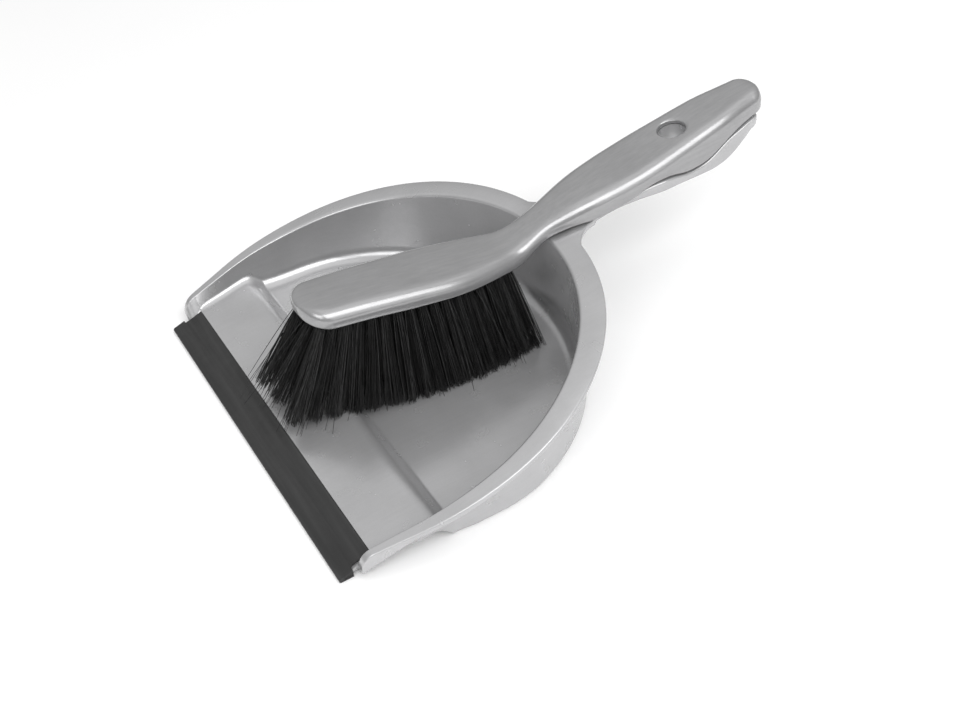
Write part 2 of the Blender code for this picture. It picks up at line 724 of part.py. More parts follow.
def add_stock(parent, material):
    stock = add_object("brush_stock", mesh_from("brush_stock", stock_solid), parent, material)
    hollow = add_object("hollow_tool", mesh_from("hollow_tool", stock_hollow), parent)
    boolean(stock, hollow, "DIFFERENCE")
    hole = add_hang_tool("stock_hole_tool", HANG_HOLE_RADIUS, *HANG_HOLE_SPAN, parent)
    boolean(stock, hole, "DIFFERENCE")
    holes = add_object("tuft_holes_tool", mesh_from("tuft_holes_tool", tuft_hole_tools), parent)
    boolean(stock, holes, "DIFFERENCE")
    smooth(stock.data, 40)
    return stock


def add_tufts(parent, material):
    for name, mouth, direction in tuft_places():
        mesh = mesh_from(name, tuft_solid(tuft_length(mouth, direction)))
        smooth(mesh, 60)
        tuft = add_object(name, mesh, parent, material)
        tuft.location = mouth
        tuft.rotation_mode = "QUATERNION"
        tuft.rotation_quaternion = direction.to_track_quat("-Z", "Y")


def add_empty(name, parent, location):
    empty = bpy.data.objects.new(name, None)
    bpy.context.scene.collection.objects.link(empty)
    empty.parent = parent
    empty.location = location
    return empty


def main():
    clear_scene()
    silver = make_material("silver_moulded_plastic", SILVER, SILVER_ROUGHNESS, SILVER_METALLIC)
    rubber = make_material("black_rubber", RUBBER_BLACK, RUBBER_ROUGHNESS)
    bristle = make_material("black_bristle", BRISTLE_BLACK, BRISTLE_ROUGHNESS)
    assembly = add_empty("assembly", None, (0.0, -0.5 * OVERALL_LENGTH, 0.0))
    brush = add_empty("brush", assembly, (0.0, 0.0, 0.0))
    add_pan(assembly, silver)
    add_lip(assembly, rubber)
    add_stock(brush, silver)
    add_tufts(brush, bristle)


main()
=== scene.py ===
"""Looks of the dust pan and brush set: a fine pan, rubber lip, brush stock and bristle tufts.

Metres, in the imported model's frame. Shapes are worked out with y = 0 at the lip's front edge, and
each piece is then moved by LIP_Y, the lip's place in the frame.
"""

import random
from math import atan, atan2, cos, pi, radians, sin, sqrt, tan

import bmesh
import bpy
import numpy as np
from mathutils import Matrix, Vector


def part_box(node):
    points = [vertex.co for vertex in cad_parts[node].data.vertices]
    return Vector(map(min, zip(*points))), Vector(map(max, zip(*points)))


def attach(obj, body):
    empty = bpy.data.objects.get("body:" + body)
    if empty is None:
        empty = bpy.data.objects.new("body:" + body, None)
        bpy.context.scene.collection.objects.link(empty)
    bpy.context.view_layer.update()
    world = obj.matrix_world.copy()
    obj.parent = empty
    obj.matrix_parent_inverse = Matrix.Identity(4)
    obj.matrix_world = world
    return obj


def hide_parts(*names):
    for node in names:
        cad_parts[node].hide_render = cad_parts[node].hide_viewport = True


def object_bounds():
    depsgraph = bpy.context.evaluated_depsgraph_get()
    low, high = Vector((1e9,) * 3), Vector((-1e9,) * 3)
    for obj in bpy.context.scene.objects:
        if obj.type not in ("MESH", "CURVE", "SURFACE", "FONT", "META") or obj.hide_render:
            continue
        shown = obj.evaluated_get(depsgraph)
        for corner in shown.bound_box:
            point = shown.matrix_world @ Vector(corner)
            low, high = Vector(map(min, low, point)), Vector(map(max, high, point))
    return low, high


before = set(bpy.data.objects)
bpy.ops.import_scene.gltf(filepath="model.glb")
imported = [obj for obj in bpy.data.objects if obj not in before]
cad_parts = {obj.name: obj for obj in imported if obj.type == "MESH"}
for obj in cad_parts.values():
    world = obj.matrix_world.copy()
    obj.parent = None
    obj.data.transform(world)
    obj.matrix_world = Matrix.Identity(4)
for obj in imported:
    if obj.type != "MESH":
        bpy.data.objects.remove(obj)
scene = bpy.context.scene
cad_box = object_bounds()
LIP_Y = cad_box[0].y
lip_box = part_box("rubber_lip")
LIP_HALF_WIDTH = 0.5 * (lip_box[1].x - lip_box[0].x)

# ---- design values, most as in the CAD
# rubber lip and the pan's blade inside it
LIP_DEPTH = 0.0175
LIP_UNDER_DEPTH = 0.0120
LIP_EDGE_HEIGHT = 0.0019
LIP_BACK_HEIGHT = 0.0080
LIP_UNDER_FLAP = 0.0010
LIP_END_STEP = 0.0072
LIP_END_INSET = 0.0027
LIP_END_SINK = 0.0002  # how far the plugs that close the slot's ends sink into the strip
LIP_END_EASE = 0.0005  # length of the strip's eased ends
LIP_END_DRAW = 0.0002  # how far the outline draws in at its ends
LIP_CORNER_RADIUS = 0.0009
LIP_CORNER_TOP = 0.0140
LIP_FLAT = 0.0080  # how far the lip's underside lies flat on the ground
LIP_SLOT_BREAK = 0.0100
LIP_RIDGE_Y = 0.0085
LIP_RIDGE = 0.00018  # height of the fine ridge along the lip's top
LIP_RIDGE_REACH = 0.0011  # and half its width
LIP_WELD = 0.00002
CUT_MARGIN = 0.0040  # how far a cutting tool reaches past what it cuts
FIT_GAP = 0.0004
BLADE_FRONT = 0.0030
BLADE_FRONT_HEIGHT = 0.0019
BLADE_BACK_HEIGHT = 0.0069
BLADE_THICKNESS = 0.0022
BLADE_HALF_WIDTH = 0.1112

# rim of the pan
RIM_HALF_WIDTH = 0.1286
RIM_WIDEST_Y = 0.0700
RIM_BACK_Y = 0.1930
RIM_SQUARENESS = 2.12
SIDE_RADIUS = 0.1280
SIDE_TAPER = radians(14)
RIM_FRONT_HEIGHT = 0.0109
RIM_SLOPE = 0.2355
RIM_NOSE_Y = 0.0100
RIM_NOSE_RADIUS = 0.0068
FLANGE_THICKNESS = 0.0020
FLANGE_CROWN = 0.0008
FLANGE_CROWN_WIDTH = 0.0080  # a flange as wide as this has its whole crown
FLANGE_WIDTH = 0.0080  # the mean of the flange's width round the rim
FLANGE_LONG_GAIN = 0.0076  # added straight back, taken off straight forward
FLANGE_BACK_LOSS = 0.0034  # taken off along the handle's line, added at the sides
FLANGE_LEAST = 0.0012
FLANGE_CENTRE_Y = 0.1100

# tub, front panel and cheeks
WALL = 0.0025
RISER_OFFSET = 0.0018  # how far behind the riser's top its underside follows
RISER_EXTRA = 0.0005  # more thickness behind the ridge
FLOOR_TOP = 0.0030
FLOOR_FILLET = 0.0080
PANEL_FILLET = 0.0050
PANEL_FILLET_GROWTH = (0.0130, 0.0230)  # where the fillet grows from the blade's to the panel's
FLOOR_FILLET_GROWTH = (0.0440, 0.0620)  # and from the panel's to the floor's
LEDGE_RADIUS = 0.0020
BLADE_FILLET = 0.0008
FAN_CENTRE_Y = 0.0660
PANEL_FRONT_Y = 0.0178
PANEL_FRONT_HEIGHT = 0.0079
RIDGE_Y = 0.0510
RIDGE_HEIGHT = 0.0110
RIDGE_RADIUS = 0.0090
RISER_FOOT_Y = 0.0588
RISER_FOOT_RADIUS = 0.0025
FOOT_STATIONS = [  # y, distance from the rim's edge to the foot of the inner wall
    (0.010, 0.0085),
    (0.030, 0.0092),
    (0.050, 0.0096),
    (0.066, 0.0128),
    (0.095, 0.0118),
    (0.193, 0.0118),
]
FOOT_ROUNDING = 0.0030
FOOT_LEAST_RUN = 0.0003  # least lean of the inner wall, from its top to its foot
OUTER_LEAST_RUN = 0.0004  # and of the outer wall
SHOULDER_GAP = 0.0008  # between the edge's hem and the outer wall's top
SHOULDER_RADIUS = 0.0015
TUB_CORNER = 0.0024  # how far the tub's foot is set in at its front corners
TUB_CORNER_RISE = (0.0400, 0.0520)
TUB_CORNER_FALL = (0.0580, 0.0700)
CHEEK_THICKNESS = 0.0018
CHEEK_FRONT_HEIGHT = 0.0044
CHEEK_SLOPE = 0.4900
CHEEK_CORNER = 0.0012

# the pan's handle
HANDLE_STATIONS = [  # y, half width, lower edge height
    (0.185, 0.0150, 0.0530),
    (0.200, 0.0146, 0.0552),
    (0.210, 0.0144, 0.0565),
    (0.222, 0.0152, 0.0583),
    (0.235, 0.0182, 0.0598),
    (0.248, 0.0204, 0.0604),
    (0.262, 0.0196, 0.0602),
    (0.276, 0.0183, 0.0594),
    (0.287, 0.0172, 0.0594),
    (0.296, 0.0165, 0.0618),
    (0.305, 0.0158, 0.0675),
    (0.312, 0.0148, 0.0725),
]
HANDLE_END_Y = 0.3190
HANDLE_FLARE_Y = 0.1885
HANDLE_FLARE_RADIUS = 0.0215
HANDLE_RISE_Y = 0.1860  # the rim's top starts to run out into the handle's here
HANDLE_JOIN_Y = 0.2070  # and is the handle's from here
HANDLE_FULL_Y = 0.2300  # where the handle's lower edge has its own rounding
HANDLE_END_RISE = 0.0014
HANDLE_UNDER_RADIUS = 0.0025
HEM_RADIUS = 0.0007

# the brush stock
STOCK_STATIONS = [  # y, half width, top height, lower edge height
    (0.054, 0.0190, 0.0703, 0.0603),
    (0.073, 0.0200, 0.0679, 0.0579),
    (0.098, 0.0210, 0.0641, 0.0538),
    (0.122, 0.0213, 0.0604, 0.0507),
    (0.145, 0.0180, 0.0576, 0.0486),
    (0.162, 0.0140, 0.0570, 0.0478),
    (0.180, 0.0114, 0.0630, 0.0550),
    (0.192, 0.0138, 0.0672, 0.0574),
    (0.208, 0.0170, 0.0713, 0.0586),
    (0.225, 0.0190, 0.0745, 0.0621),
    (0.243, 0.0195, 0.0780, 0.0674),
    (0.253, 0.0192, 0.0802, 0.0676),
    (0.267, 0.0184, 0.0832, 0.0654),
    (0.281, 0.0175, 0.0863, 0.0673),
    (0.295, 0.0164, 0.0891, 0.0743),
    (0.304, 0.0148, 0.0907, 0.0774),
    (0.315, 0.0131, 0.0925, 0.0802),
]
STOCK_FIRST_Y, STOCK_LAST_Y = STOCK_STATIONS[0][0], STOCK_STATIONS[-1][0]
STOCK_NOSE_Y = 0.0410
STOCK_END_Y = 0.3240
STOCK_EDGE_RADIUS = 0.0070
STOCK_UNDER_EASE = 0.0014
STOCK_CROWN = 0.0004
STOCK_EVENING = 0.0045  # the stations' curves are evened out over this reach, at so many places
EVENING_PLACES = 7
NOSE_RISE = 0.15  # rise of an end's middle for each unit of its length
TIP_RISE = 0.18
NOSE_TAPER = 0.90  # 1 for an elliptical end, less for a squarer one
TIP_TAPER = 0.66
END_EDGE = 0.25  # thickness left at the end, as a share
END_THINNING = 0.6

# the hanging hole, and the tongue of the pan's handle in the hollow of the stock's
HANG_HOLE_Y = 0.2680
HANG_HOLE_RADIUS = 0.0078
HANG_HOLE_LIP = 0.0011  # radius of the rounding round the hole's mouth
HANG_HOLE_LIP_TURN = radians(82)
HOLE_FLARE = (0.0100, 0.0060)  # how far the tool opens out and rises above the mouth
HANG_COLLAR_WALL = 0.0026
HANG_COLLAR_BOTTOM = -0.0190
HOLE_TOOL_SPAN = (-0.0400, 0.0100)  # heights over the handle's top
HOLE_SIDES = 64
HANDLE_TILT = radians(9.3)
SHELL = 0.0026
TONGUE_GAP = 0.0006
TONGUE_ROOT = 0.0015
HOLLOW_SPAN = (0.2100, 0.3100)
TONGUE_SPAN = (0.2260, 0.3050)
CHANNEL_SPAN = (0.2300, 0.2950)
BELOW_HANDLE = 0.0400
HANDLE_EASE = 0.0015

# the tufts
TUFT_ROW_COUNT = 17
TUFT_FIRST_Y = 0.0490
TUFT_LAST_Y = 0.1540
TUFT_EDGE_MARGIN = 0.0078
TUFT_HOLE_RADIUS = 0.0023
TUFT_DEPTH = 0.0060
MOUTH_GROWTH = 1.08  # of a hole's radius, at its mouth
MOUTH_SIDES = 16
TUFT_SPLAY_FRONT = radians(9)
TUFT_SPLAY_BACK = radians(21)
TUFT_LEAN_FRONT = radians(32)
TUFT_LEAN_BACK = radians(6)
TUFT_UPRIGHT_FROM = 0.55  # share of the row's length over which the forward lean dies out
TUFT_LEAN_GROWTH = 1.5  # how the lean grows towards the ends of the row
TUFT_MIDDLE_LEAN = 1.28  # how much more the middle row leans at the front

SHARP_ANGLE = radians(42)
LIP_SHARP_ANGLE = radians(40)


# ---- helpers
def smooth_step(value, start, end):
    t = min(max((value - start) / (end - start), 0.0), 1.0)
    return t * t * (3.0 - 2.0 * t)


def curve_through(stations, column, y):
    """A smooth curve through one column of the stations, read at y."""
    ys = [station[0] for station in stations]
    values = [station[column] for station in stations]
    slopes = np.gradient(values, ys)
    i = int(np.clip(np.searchsorted(ys, y) - 1, 0, len(ys) - 2))
    span = ys[i + 1] - ys[i]
    t = min(max((y - ys[i]) / span, 0.0), 1.0)
    return float(
        (2 * t**3 - 3 * t**2 + 1) * values[i]
        + (t**3 - 2 * t**2 + t) * span * slopes[i]
        + (3 * t**2 - 2 * t**3) * values[i + 1]
        + (t**3 - t**2) * span * slopes[i + 1]
    )


def spread(start, end, count):
    """count evenly spaced values from start to end, both included."""
    return [start + (end - start) * i / (count - 1) for i in range(count)]


def rounded(corners):
    """Rounds a line's corners, each (x, y, radius, segments), or (x, y) where it stays sharp.

    A rounded corner gives segments + 1 points, so lines with the same segments have the same count.
    """
    points = [Vector(corner[:2]) for corner in corners]
    line = []
    for i, (here, corner) in enumerate(zip(points, corners)):
        if len(corner) == 2:
            line.append(here)
            continue
        radius, segments = corner[2:]
        back, ahead = points[i - 1] - here, points[i + 1] - here
        turn = pi - back.angle(ahead)
        reach = min(radius * tan(0.5 * turn), 0.48 * back.length, 0.48 * ahead.length)
        start, end = here + back.normalized() * reach, here + ahead.normalized() * reach
        bow = 1.0 / cos(0.5 * turn)
        for t in spread(0.0, 1.0, segments + 1):
            side, middle = (1.0 - t) ** 2 + t**2, 2.0 * t * (1.0 - t)
            weight = side + middle / bow
            line.append((start * (1.0 - t) ** 2 + here * (middle / bow) + end * t**2) / weight)
    return line


def circle(radius, height, sides):
    """Points of a level circle round the Z axis."""
    turns = [2.0 * pi * i / sides for i in range(sides)]
    return [Vector((radius * cos(a), radius * sin(a), height)) for a in turns]


def mesh_from(name, build, weld=0.000001):
    """Makes a smooth mesh with build(bm), welded unless weld is 0, with its faces pointing out."""
    bm = bmesh.new()
    build(bm)
    if weld:
        bmesh.ops.remove_doubles(bm, verts=bm.verts, dist=weld)
    bmesh.ops.recalc_face_normals(bm, faces=bm.faces)
    mesh = bpy.data.meshes.new(name)
    bm.to_mesh(mesh)
    bm.free()
    mesh.shade_smooth()
    return mesh


def skin(bm, rows, closed):
    """Faces between rows of vertices of equal count."""
    count = len(rows[0])
    for row, following in zip(rows, rows[1:]):
        for i in range(count if closed else count - 1):
            j = (i + 1) % count
            corners = list(dict.fromkeys((row[i], row[j], following[j], following[i])))
            if len(corners) > 2:
                bm.faces.new(corners)


def loft(bm, rings):
    """Skins closed rings of equal count and caps both ends."""
    rows = [[bm.verts.new(point) for point in ring] for ring in rings]
    skin(bm, rows, closed=True)
    bm.faces.new(rows[0])
    bm.faces.new(rows[-1])


def new_object(data):
    """An object of its data's name."""
    obj = bpy.data.objects.new(data.name, data)
    scene.collection.objects.link(obj)
    return obj


def new_piece(mesh, *materials):
    """An object for a mesh that was made with y = 0 at the lip's front edge."""
    piece = new_object(mesh)
    piece.location.y = LIP_Y
    for material in materials:
        mesh.materials.append(material)
    return piece


def weld_mesh(mesh, distance):
    """Merges points closer than distance and closes the slits, of up to six edges, that are left."""
    bm = bmesh.new()
    bm.from_mesh(mesh)
    bmesh.ops.remove_doubles(bm, verts=bm.verts, dist=distance)
    bmesh.ops.dissolve_degenerate(bm, edges=bm.edges, dist=1e-7)
    bmesh.ops.triangulate(bm, faces=bm.faces)
    bmesh.ops.holes_fill(bm, edges=bm.edges, sides=6)
    bm.to_mesh(mesh)
    bm.free()


def cut_or_join(target, tools):
    """Applies a list of (tool mesh, operation) Booleans to target, for good."""
    for mesh, operation in tools:
        tool = new_object(mesh)
        modifier = target.modifiers.new(mesh.name, "BOOLEAN")
        modifier.operation = operation
        modifier.object = tool
        tool.location = target.location
    bpy.context.view_layer.update()
    evaluated = target.evaluated_get(bpy.context.evaluated_depsgraph_get())
    result = bpy.data.meshes.new_from_object(evaluated)
    target.modifiers.clear()
    target.data = result
    for mesh, _ in tools:
        bpy.data.objects.remove(bpy.data.objects[mesh.name])


def finish_piece(piece, body, node):
    """Hands a finished piece to the frame."""
    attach(piece, body)
    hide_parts(node)


# ---- materials
PAN_SILVER = (0.475, 0.475, 0.48)
STOCK_SILVER = (0.345, 0.345, 0.349)


def new_material(name, **sockets):
    """A node material; sockets are uniform values on the shader itself."""
    material = bpy.data.materials.new(name)
    material.use_nodes = True
    shader = material.node_tree.nodes["Principled BSDF"]
    for socket, value in sockets.items():
        shader.inputs[socket.replace("_", " ")].default_value = value
    return material, shader


def add_node(material, kind, inputs=None, **settings):
    """Adds a node; inputs are values or output sockets by input name."""
    node = material.node_tree.nodes.new(kind)
    for name, value in settings.items():
        setattr(node, name, value)
    for name, value in (inputs or {}).items():
        if isinstance(value, bpy.types.NodeSocket):
            material.node_tree.links.new(value, node.inputs[name])
        else:
            node.inputs[name].default_value = value
    return node


def noise(material, scale, detail=3.0, stretch=(1.0, 1.0, 1.0)):
    """Noise of a scale in features for each metre, finer along the axes that are stretched more."""
    place = add_node(material, "ShaderNodeTexCoord").outputs["Object"]
    place = add_node(material, "ShaderNodeMapping", {"Vector": place, "Scale": stretch}).outputs["Vector"]
    inputs = {"Vector": place, "Scale": scale, "Detail": detail}
    return add_node(material, "ShaderNodeTexNoise", inputs).outputs["Fac"]


def ramp(material, factor, low, high, start=0.3, end=0.7):
    """Maps a factor from start..end to two greys or colours."""
    node = add_node(material, "ShaderNodeValToRGB", {"Fac": factor})
    for element, position, colour in zip(node.color_ramp.elements, (start, end), (low, high)):
        element.position = position
        element.color = (*colour, 1.0) if isinstance(colour, tuple) else (colour, colour, colour, 1.0)
    return node.outputs["Color"]


def overlaid(material, first, second, factor):
    """The first colour, lightened where the second is over mid grey and darkened where it is under."""
    inputs = {"Fac": factor, "Color1": first, "Color2": second}
    return add_node(material, "ShaderNodeMixRGB", inputs, blend_type="OVERLAY").outputs["Color"]


def connect(shader, **links):
    for socket, output in links.items():
        shader.id_data.links.new(output, shader.inputs[socket.replace("_", " ")])


def bump(material, layers):
    """Chains bump nodes; each layer is (height, strength, distance)."""
    normal = None
    for height, strength, distance in layers:
        inputs = {"Height": height, "Strength": strength, "Distance": distance}
        if normal:
            inputs["Normal"] = normal
        normal = add_node(material, "ShaderNodeBump", inputs).outputs["Normal"]
    return normal


def silver_plastic(name, grey, streaks, roughness):
    """Moulded plastic with a fine metallic flake; streaks is the strength of its flow lines."""
    material, shader = new_material(name, Metallic=0.55, IOR=1.5, Coat_Weight=0.10, Coat_Roughness=0.15)
    low, high = (tuple(channel * k for channel in grey) for k in (0.94, 1.05))
    cloud = ramp(material, noise(material, 28.0, 4.0), low, high)
    flake = ramp(material, noise(material, 1300.0, 2.0), 0.45, 0.55)
    colour = overlaid(material, cloud, flake, 0.20)
    flow = noise(material, 1.0, 5.0, stretch=(620.0, 22.0, 620.0))
    colour = overlaid(material, colour, ramp(material, flow, 0.40, 0.58), streaks)
    rough = ramp(material, noise(material, 95.0), roughness - 0.03, roughness + 0.03)
    grain = noise(material, 1500.0, 2.0)
    wave = noise(material, 55.0, 2.0)
    layers = [(wave, 0.03, 0.0006), (grain, 0.04, 0.00005), (flow, 0.03 * streaks, 0.0001)]
    normal = bump(material, layers)
    connect(shader, Base_Color=colour, Roughness=rough, Normal=normal)
    return material


def lip_rubber():
    """Matt black rubber, a little greyer where it has been rubbed."""
    material, shader = new_material("lip_rubber_black", IOR=1.5, Specular_IOR_Level=0.35)
    worn = ramp(material, noise(material, 1.0, 4.0, stretch=(14.0, 260.0, 260.0)), 0.024, 0.040)
    dust = ramp(material, noise(material, 1900.0), 0.40, 0.60)
    colour = overlaid(material, worn, dust, 0.25)
    rough = ramp(material, noise(material, 160.0), 0.55, 0.68)
    normal = bump(material, [(noise(material, 3000.0), 0.25, 0.00008)])
    connect(shader, Base_Color=colour, Roughness=rough, Normal=normal)
    return material


def bristle_filament(name, dark, light):
    """Synthetic filament with a soft sheen along it."""
    material, shader = new_material(name, IOR=1.5, Specular_IOR_Level=0.30)
    strand = noise(material, 1.0, 2.0, stretch=(900.0, 900.0, 45.0))
    colour = ramp(material, strand, dark, light)
    rough = ramp(material, strand, 0.34, 0.50)
    connect(shader, Base_Color=colour, Roughness=rough)
    return material


def floor_paint():
    material, shader = new_material("studio_floor", Roughness=0.85)
    connect(shader, Base_Color=ramp(material, noise(material, 3.0, 2.0), 0.965, 0.985))
    return material


# ---- the pan's outlines
BISECTIONS = 40


def arc_away(reach, radius):
    """How far a quarter arc has turned away from its start's line after a reach along it."""
    turn = min(max(reach / radius, 0.0), 1.0)
    return radius * (1.0 - sqrt(1.0 - turn * turn))


def rim_height(y):
    """Height of the rim's outer edge, with its front end rounded down."""
    drop = arc_away(RIM_NOSE_Y + RIM_NOSE_RADIUS - y, RIM_NOSE_RADIUS)
    return RIM_FRONT_HEIGHT + RIM_SLOPE * y - drop


def rim_half_width(y):
    """Half width of the rim in front of its widest place."""
    turn = RIM_WIDEST_Y - y
    taper_start = SIDE_RADIUS * sin(SIDE_TAPER)
    if turn <= taper_start:
        return RIM_HALF_WIDTH - SIDE_RADIUS + sqrt(SIDE_RADIUS**2 - turn**2)
    arc_loss = SIDE_RADIUS * (1.0 - cos(SIDE_TAPER))
    return RIM_HALF_WIDTH - arc_loss - (turn - taper_start) * tan(SIDE_TAPER)


def rim_back_point(angle):
    """Point of the rim behind its widest place: a slightly squared ellipse."""
    power = 2.0 / RIM_SQUARENESS
    x = RIM_HALF_WIDTH * cos(angle) ** power
    y = RIM_WIDEST_Y + (RIM_BACK_Y - RIM_WIDEST_Y) * sin(angle) ** power
    return Vector((x, y))


def rim_back_at(bearing):
    """The rim's point behind the fan centre at a bearing from the handle's line."""
    low, high = 0.0, 0.5 * pi
    for _ in range(BISECTIONS):
        middle = 0.5 * (low + high)
        point = rim_back_point(middle)
        if atan2(point.x, point.y - FAN_CENTRE_Y) > bearing:
            low = middle
        else:
            high = middle
    return rim_back_point(low)


def flange_width(point):
    """The flange is widest round the back and narrows to a thin edge at the front."""
    bearing = atan2(point.x, point.y - FLANGE_CENTRE_Y)
    width = FLANGE_WIDTH + FLANGE_LONG_GAIN * cos(bearing)
    return max(width - FLANGE_BACK_LOSS * cos(2 * bearing), FLANGE_LEAST)


def blade_top(y):
    slope = (BLADE_BACK_HEIGHT - BLADE_FRONT_HEIGHT) / (LIP_DEPTH - BLADE_FRONT)
    return BLADE_FRONT_HEIGHT + slope * (y - BLADE_FRONT)


def blade_under(y):
    return max(LIP_UNDER_FLAP + FIT_GAP, blade_top(y) - BLADE_THICKNESS)


def on_blade(y):
    """Whether a row lies on the blade, in front of the lip's back edge."""
    return y < LIP_DEPTH + 0.5 * FIT_GAP


def panel_line():
    """The front panel, the riser behind its ridge and the tub's floor, seen from the side."""
    return rounded([
        (PANEL_FRONT_Y, PANEL_FRONT_HEIGHT),
        (RIDGE_Y, RIDGE_HEIGHT, RIDGE_RADIUS, 14),
        (RISER_FOOT_Y, FLOOR_TOP, RISER_FOOT_RADIUS, 8),
        (RIM_BACK_Y, FLOOR_TOP),
    ])


PANEL_LINE = panel_line()


def floor_top(y):
    """Height of the blade, the front panel, the riser and the tub's floor."""
    if on_blade(y):
        return blade_top(y)
    return float(np.interp(y, [p.x for p in PANEL_LINE], [p.y for p in PANEL_LINE]))


def floor_under(y):
    if on_blade(y):
        return blade_under(y)
    extra = RISER_EXTRA * smooth_step(y, RIDGE_Y, RISER_FOOT_Y)
    return max(0.0, floor_top(y + RISER_OFFSET) - WALL - extra)


def handle_half_width(y):
    """Half width of the pan's handle, flared where it joins the rim."""
    flare = arc_away(HANDLE_FLARE_Y + HANDLE_FLARE_RADIUS - y, HANDLE_FLARE_RADIUS)
    return curve_through(HANDLE_STATIONS, 1, y) + flare


def handle_top(y):
    return curve_through(STOCK_STATIONS, 3, y) - FIT_GAP


def plate_top(y):
    """Top of the flange's outer edge, running out into the handle's top."""
    share = smooth_step(y, HANDLE_RISE_Y, HANDLE_JOIN_Y)
    return rim_height(y) * (1.0 - share) + handle_top(y) * share


def plate_under(y):
    share = smooth_step(y, HANDLE_RISE_Y, HANDLE_JOIN_Y)
    flange = rim_height(y) - FLANGE_THICKNESS
    return flange * (1.0 - share) + curve_through(HANDLE_STATIONS, 2, max(y, HANDLE_RISE_Y)) * share


# ---- the pan
EDGE_DEPTH = 0.0060  # how far in from the rim its edge is shaped square to it
EDGE_TOP_RADIUS = 0.0009
HEM_DROP = 0.0005  # how far the rim's edge hangs below the flange
HEM_SLANT = 0.0004
HEM_ROOT = CHEEK_THICKNESS + HEM_SLANT
HEM_SHARE = 0.85  # of the shaped edge's depth, the most that a hem takes
BLADE_TOP_POINTS = 8  # of an edge's points, those that gather on top of the blade
BACK_ROWS = 46
BACK_STEP = 0.002  # half the turn over which the rim's direction is taken
FLARE_ROWS = 16
FLARE_CROWDING = 1.35  # above 1, the flare's rows are closest where it starts
FLARE_STEP = 0.0002
JOIN_ROWS = 12
PANEL_ROWS = (0.0205, 0.0430, 10)  # first place, last place and count
RIDGE_ROWS = (0.0438, 0.0620, 34)
TUB_ROWS = (0.0638, 0.0654, 2)


def cheek_hem(y):
    """Lower edge of the cheek's plate, rounded up at its front."""
    rounding = arc_away(RIM_NOSE_Y + CHEEK_CORNER - y, CHEEK_CORNER)
    return CHEEK_FRONT_HEIGHT + CHEEK_SLOPE * (y - RIM_NOSE_Y) + rounding


def edge_section(depth, top, hem, root, hem_width, radius):
    """Distances in and heights round an outer edge, from next to depth on the top to the hem's root."""
    return rounded([
        (depth, top),
        (0.0, top, min(EDGE_TOP_RADIUS, 0.4 * (top - hem)), 5),
        (0.0, hem, radius, 6),
        (hem_width, hem),
        (hem_width + HEM_SLANT, root),
    ])[1:]


class Row:
    """One row of points across the pan: over the floor, wall, flange and edge, and back below."""

    def __init__(self, edge, normal, rim, centre, at_join=False):
        self.edge, self.normal, self.rim, self.centre = edge, normal, rim, centre
        self.at_join = at_join
        self.inward = (centre - rim).normalized()
        self.width = flange_width(rim)
        self.depth = 0.0 if at_join else min(EDGE_DEPTH, 0.8 * self.width)
        self.inner = rim + self.inward * self.width
        self.bend = edge + normal * self.depth
        self.run = self.depth + (self.inner - self.bend).length

    def place(self, points):
        """Turns (distance in from the edge, height) into points of the row."""
        placed = []
        for distance, height in points:
            if distance <= self.depth:
                flat = self.edge + self.normal * distance
            elif distance <= self.run:
                share = (distance - self.depth) / (self.run - self.depth)
                flat = self.bend.lerp(self.inner, share)
            else:
                flat = self.inner + self.inward * (distance - self.run)
            placed.append(Vector((flat.x, flat.y, height)))
        return placed

    def sections(self):
        """(points above, points round the edge, points below), from the middle out and back."""
        y = self.rim.y
        floor, base = floor_top(y), floor_under(y)
        top, under = plate_top(self.edge.y), plate_under(self.edge.y)
        crown = FLANGE_CROWN * smooth_step(self.width, 0.0, FLANGE_CROWN_WIDTH)
        inner_top = rim_height(self.inner.y) + crown
        shift = self.run - self.width
        middle = shift + (self.centre - self.rim).length
        rise = min((inner_top - floor) / (RIM_FRONT_HEIGHT + RIM_SLOPE * y - floor), 1.0)
        run = (curve_through(FOOT_STATIONS, 1, y) - self.width) * rise
        foot = self.width + max(run, FOOT_LEAST_RUN)
        fillet = BLADE_FILLET + (PANEL_FILLET - BLADE_FILLET) * smooth_step(y, *PANEL_FILLET_GROWTH)
        fillet += (FLOOR_FILLET - PANEL_FILLET) * smooth_step(y, *FLOOR_FILLET_GROWTH)

        def wall_height(inset):
            share = (inset - self.width) / (foot - self.width)
            return inner_top + (floor - inner_top) * min(max(share, 0.0), 1.0)

        root = under if self.at_join else min(under, wall_height(HEM_ROOT + WALL))
        shoulder = max(self.width - WALL, HEM_ROOT + SHOULDER_GAP)
        shoulder_height = min(inner_top - FLANGE_THICKNESS, wall_height(shoulder + WALL))
        corner = TUB_CORNER * (smooth_step(y, *TUB_CORNER_RISE) - smooth_step(y, *TUB_CORNER_FALL))
        outer_foot = max(foot - WALL, shoulder + OUTER_LEAST_RUN) + corner
        above = rounded([
            (middle, floor),
            (shift + foot, floor, fillet, 14),
            (self.run, inner_top, LEDGE_RADIUS, 8),
            (self.depth, top + (inner_top - top) * self.depth / self.run),
        ])
        below = rounded([
            (0.0 if self.at_join else HEM_ROOT, root),
            (shift + shoulder, shoulder_height, SHOULDER_RADIUS, 4),
            (shift + outer_foot, base, FOOT_ROUNDING, 8),
            (middle, base),
        ])
        if self.at_join:
            return self.place(above), self.place(below[:1]), self.place(below[1:])
        hem = root - HEM_DROP
        if y < RIM_WIDEST_Y:
            hem = min(cheek_hem(y), hem)
        edge = edge_section(self.depth, above[-1].y, hem, root, CHEEK_THICKNESS, HEM_RADIUS)
        return self.place(above), self.place(edge), self.place(below[1:])


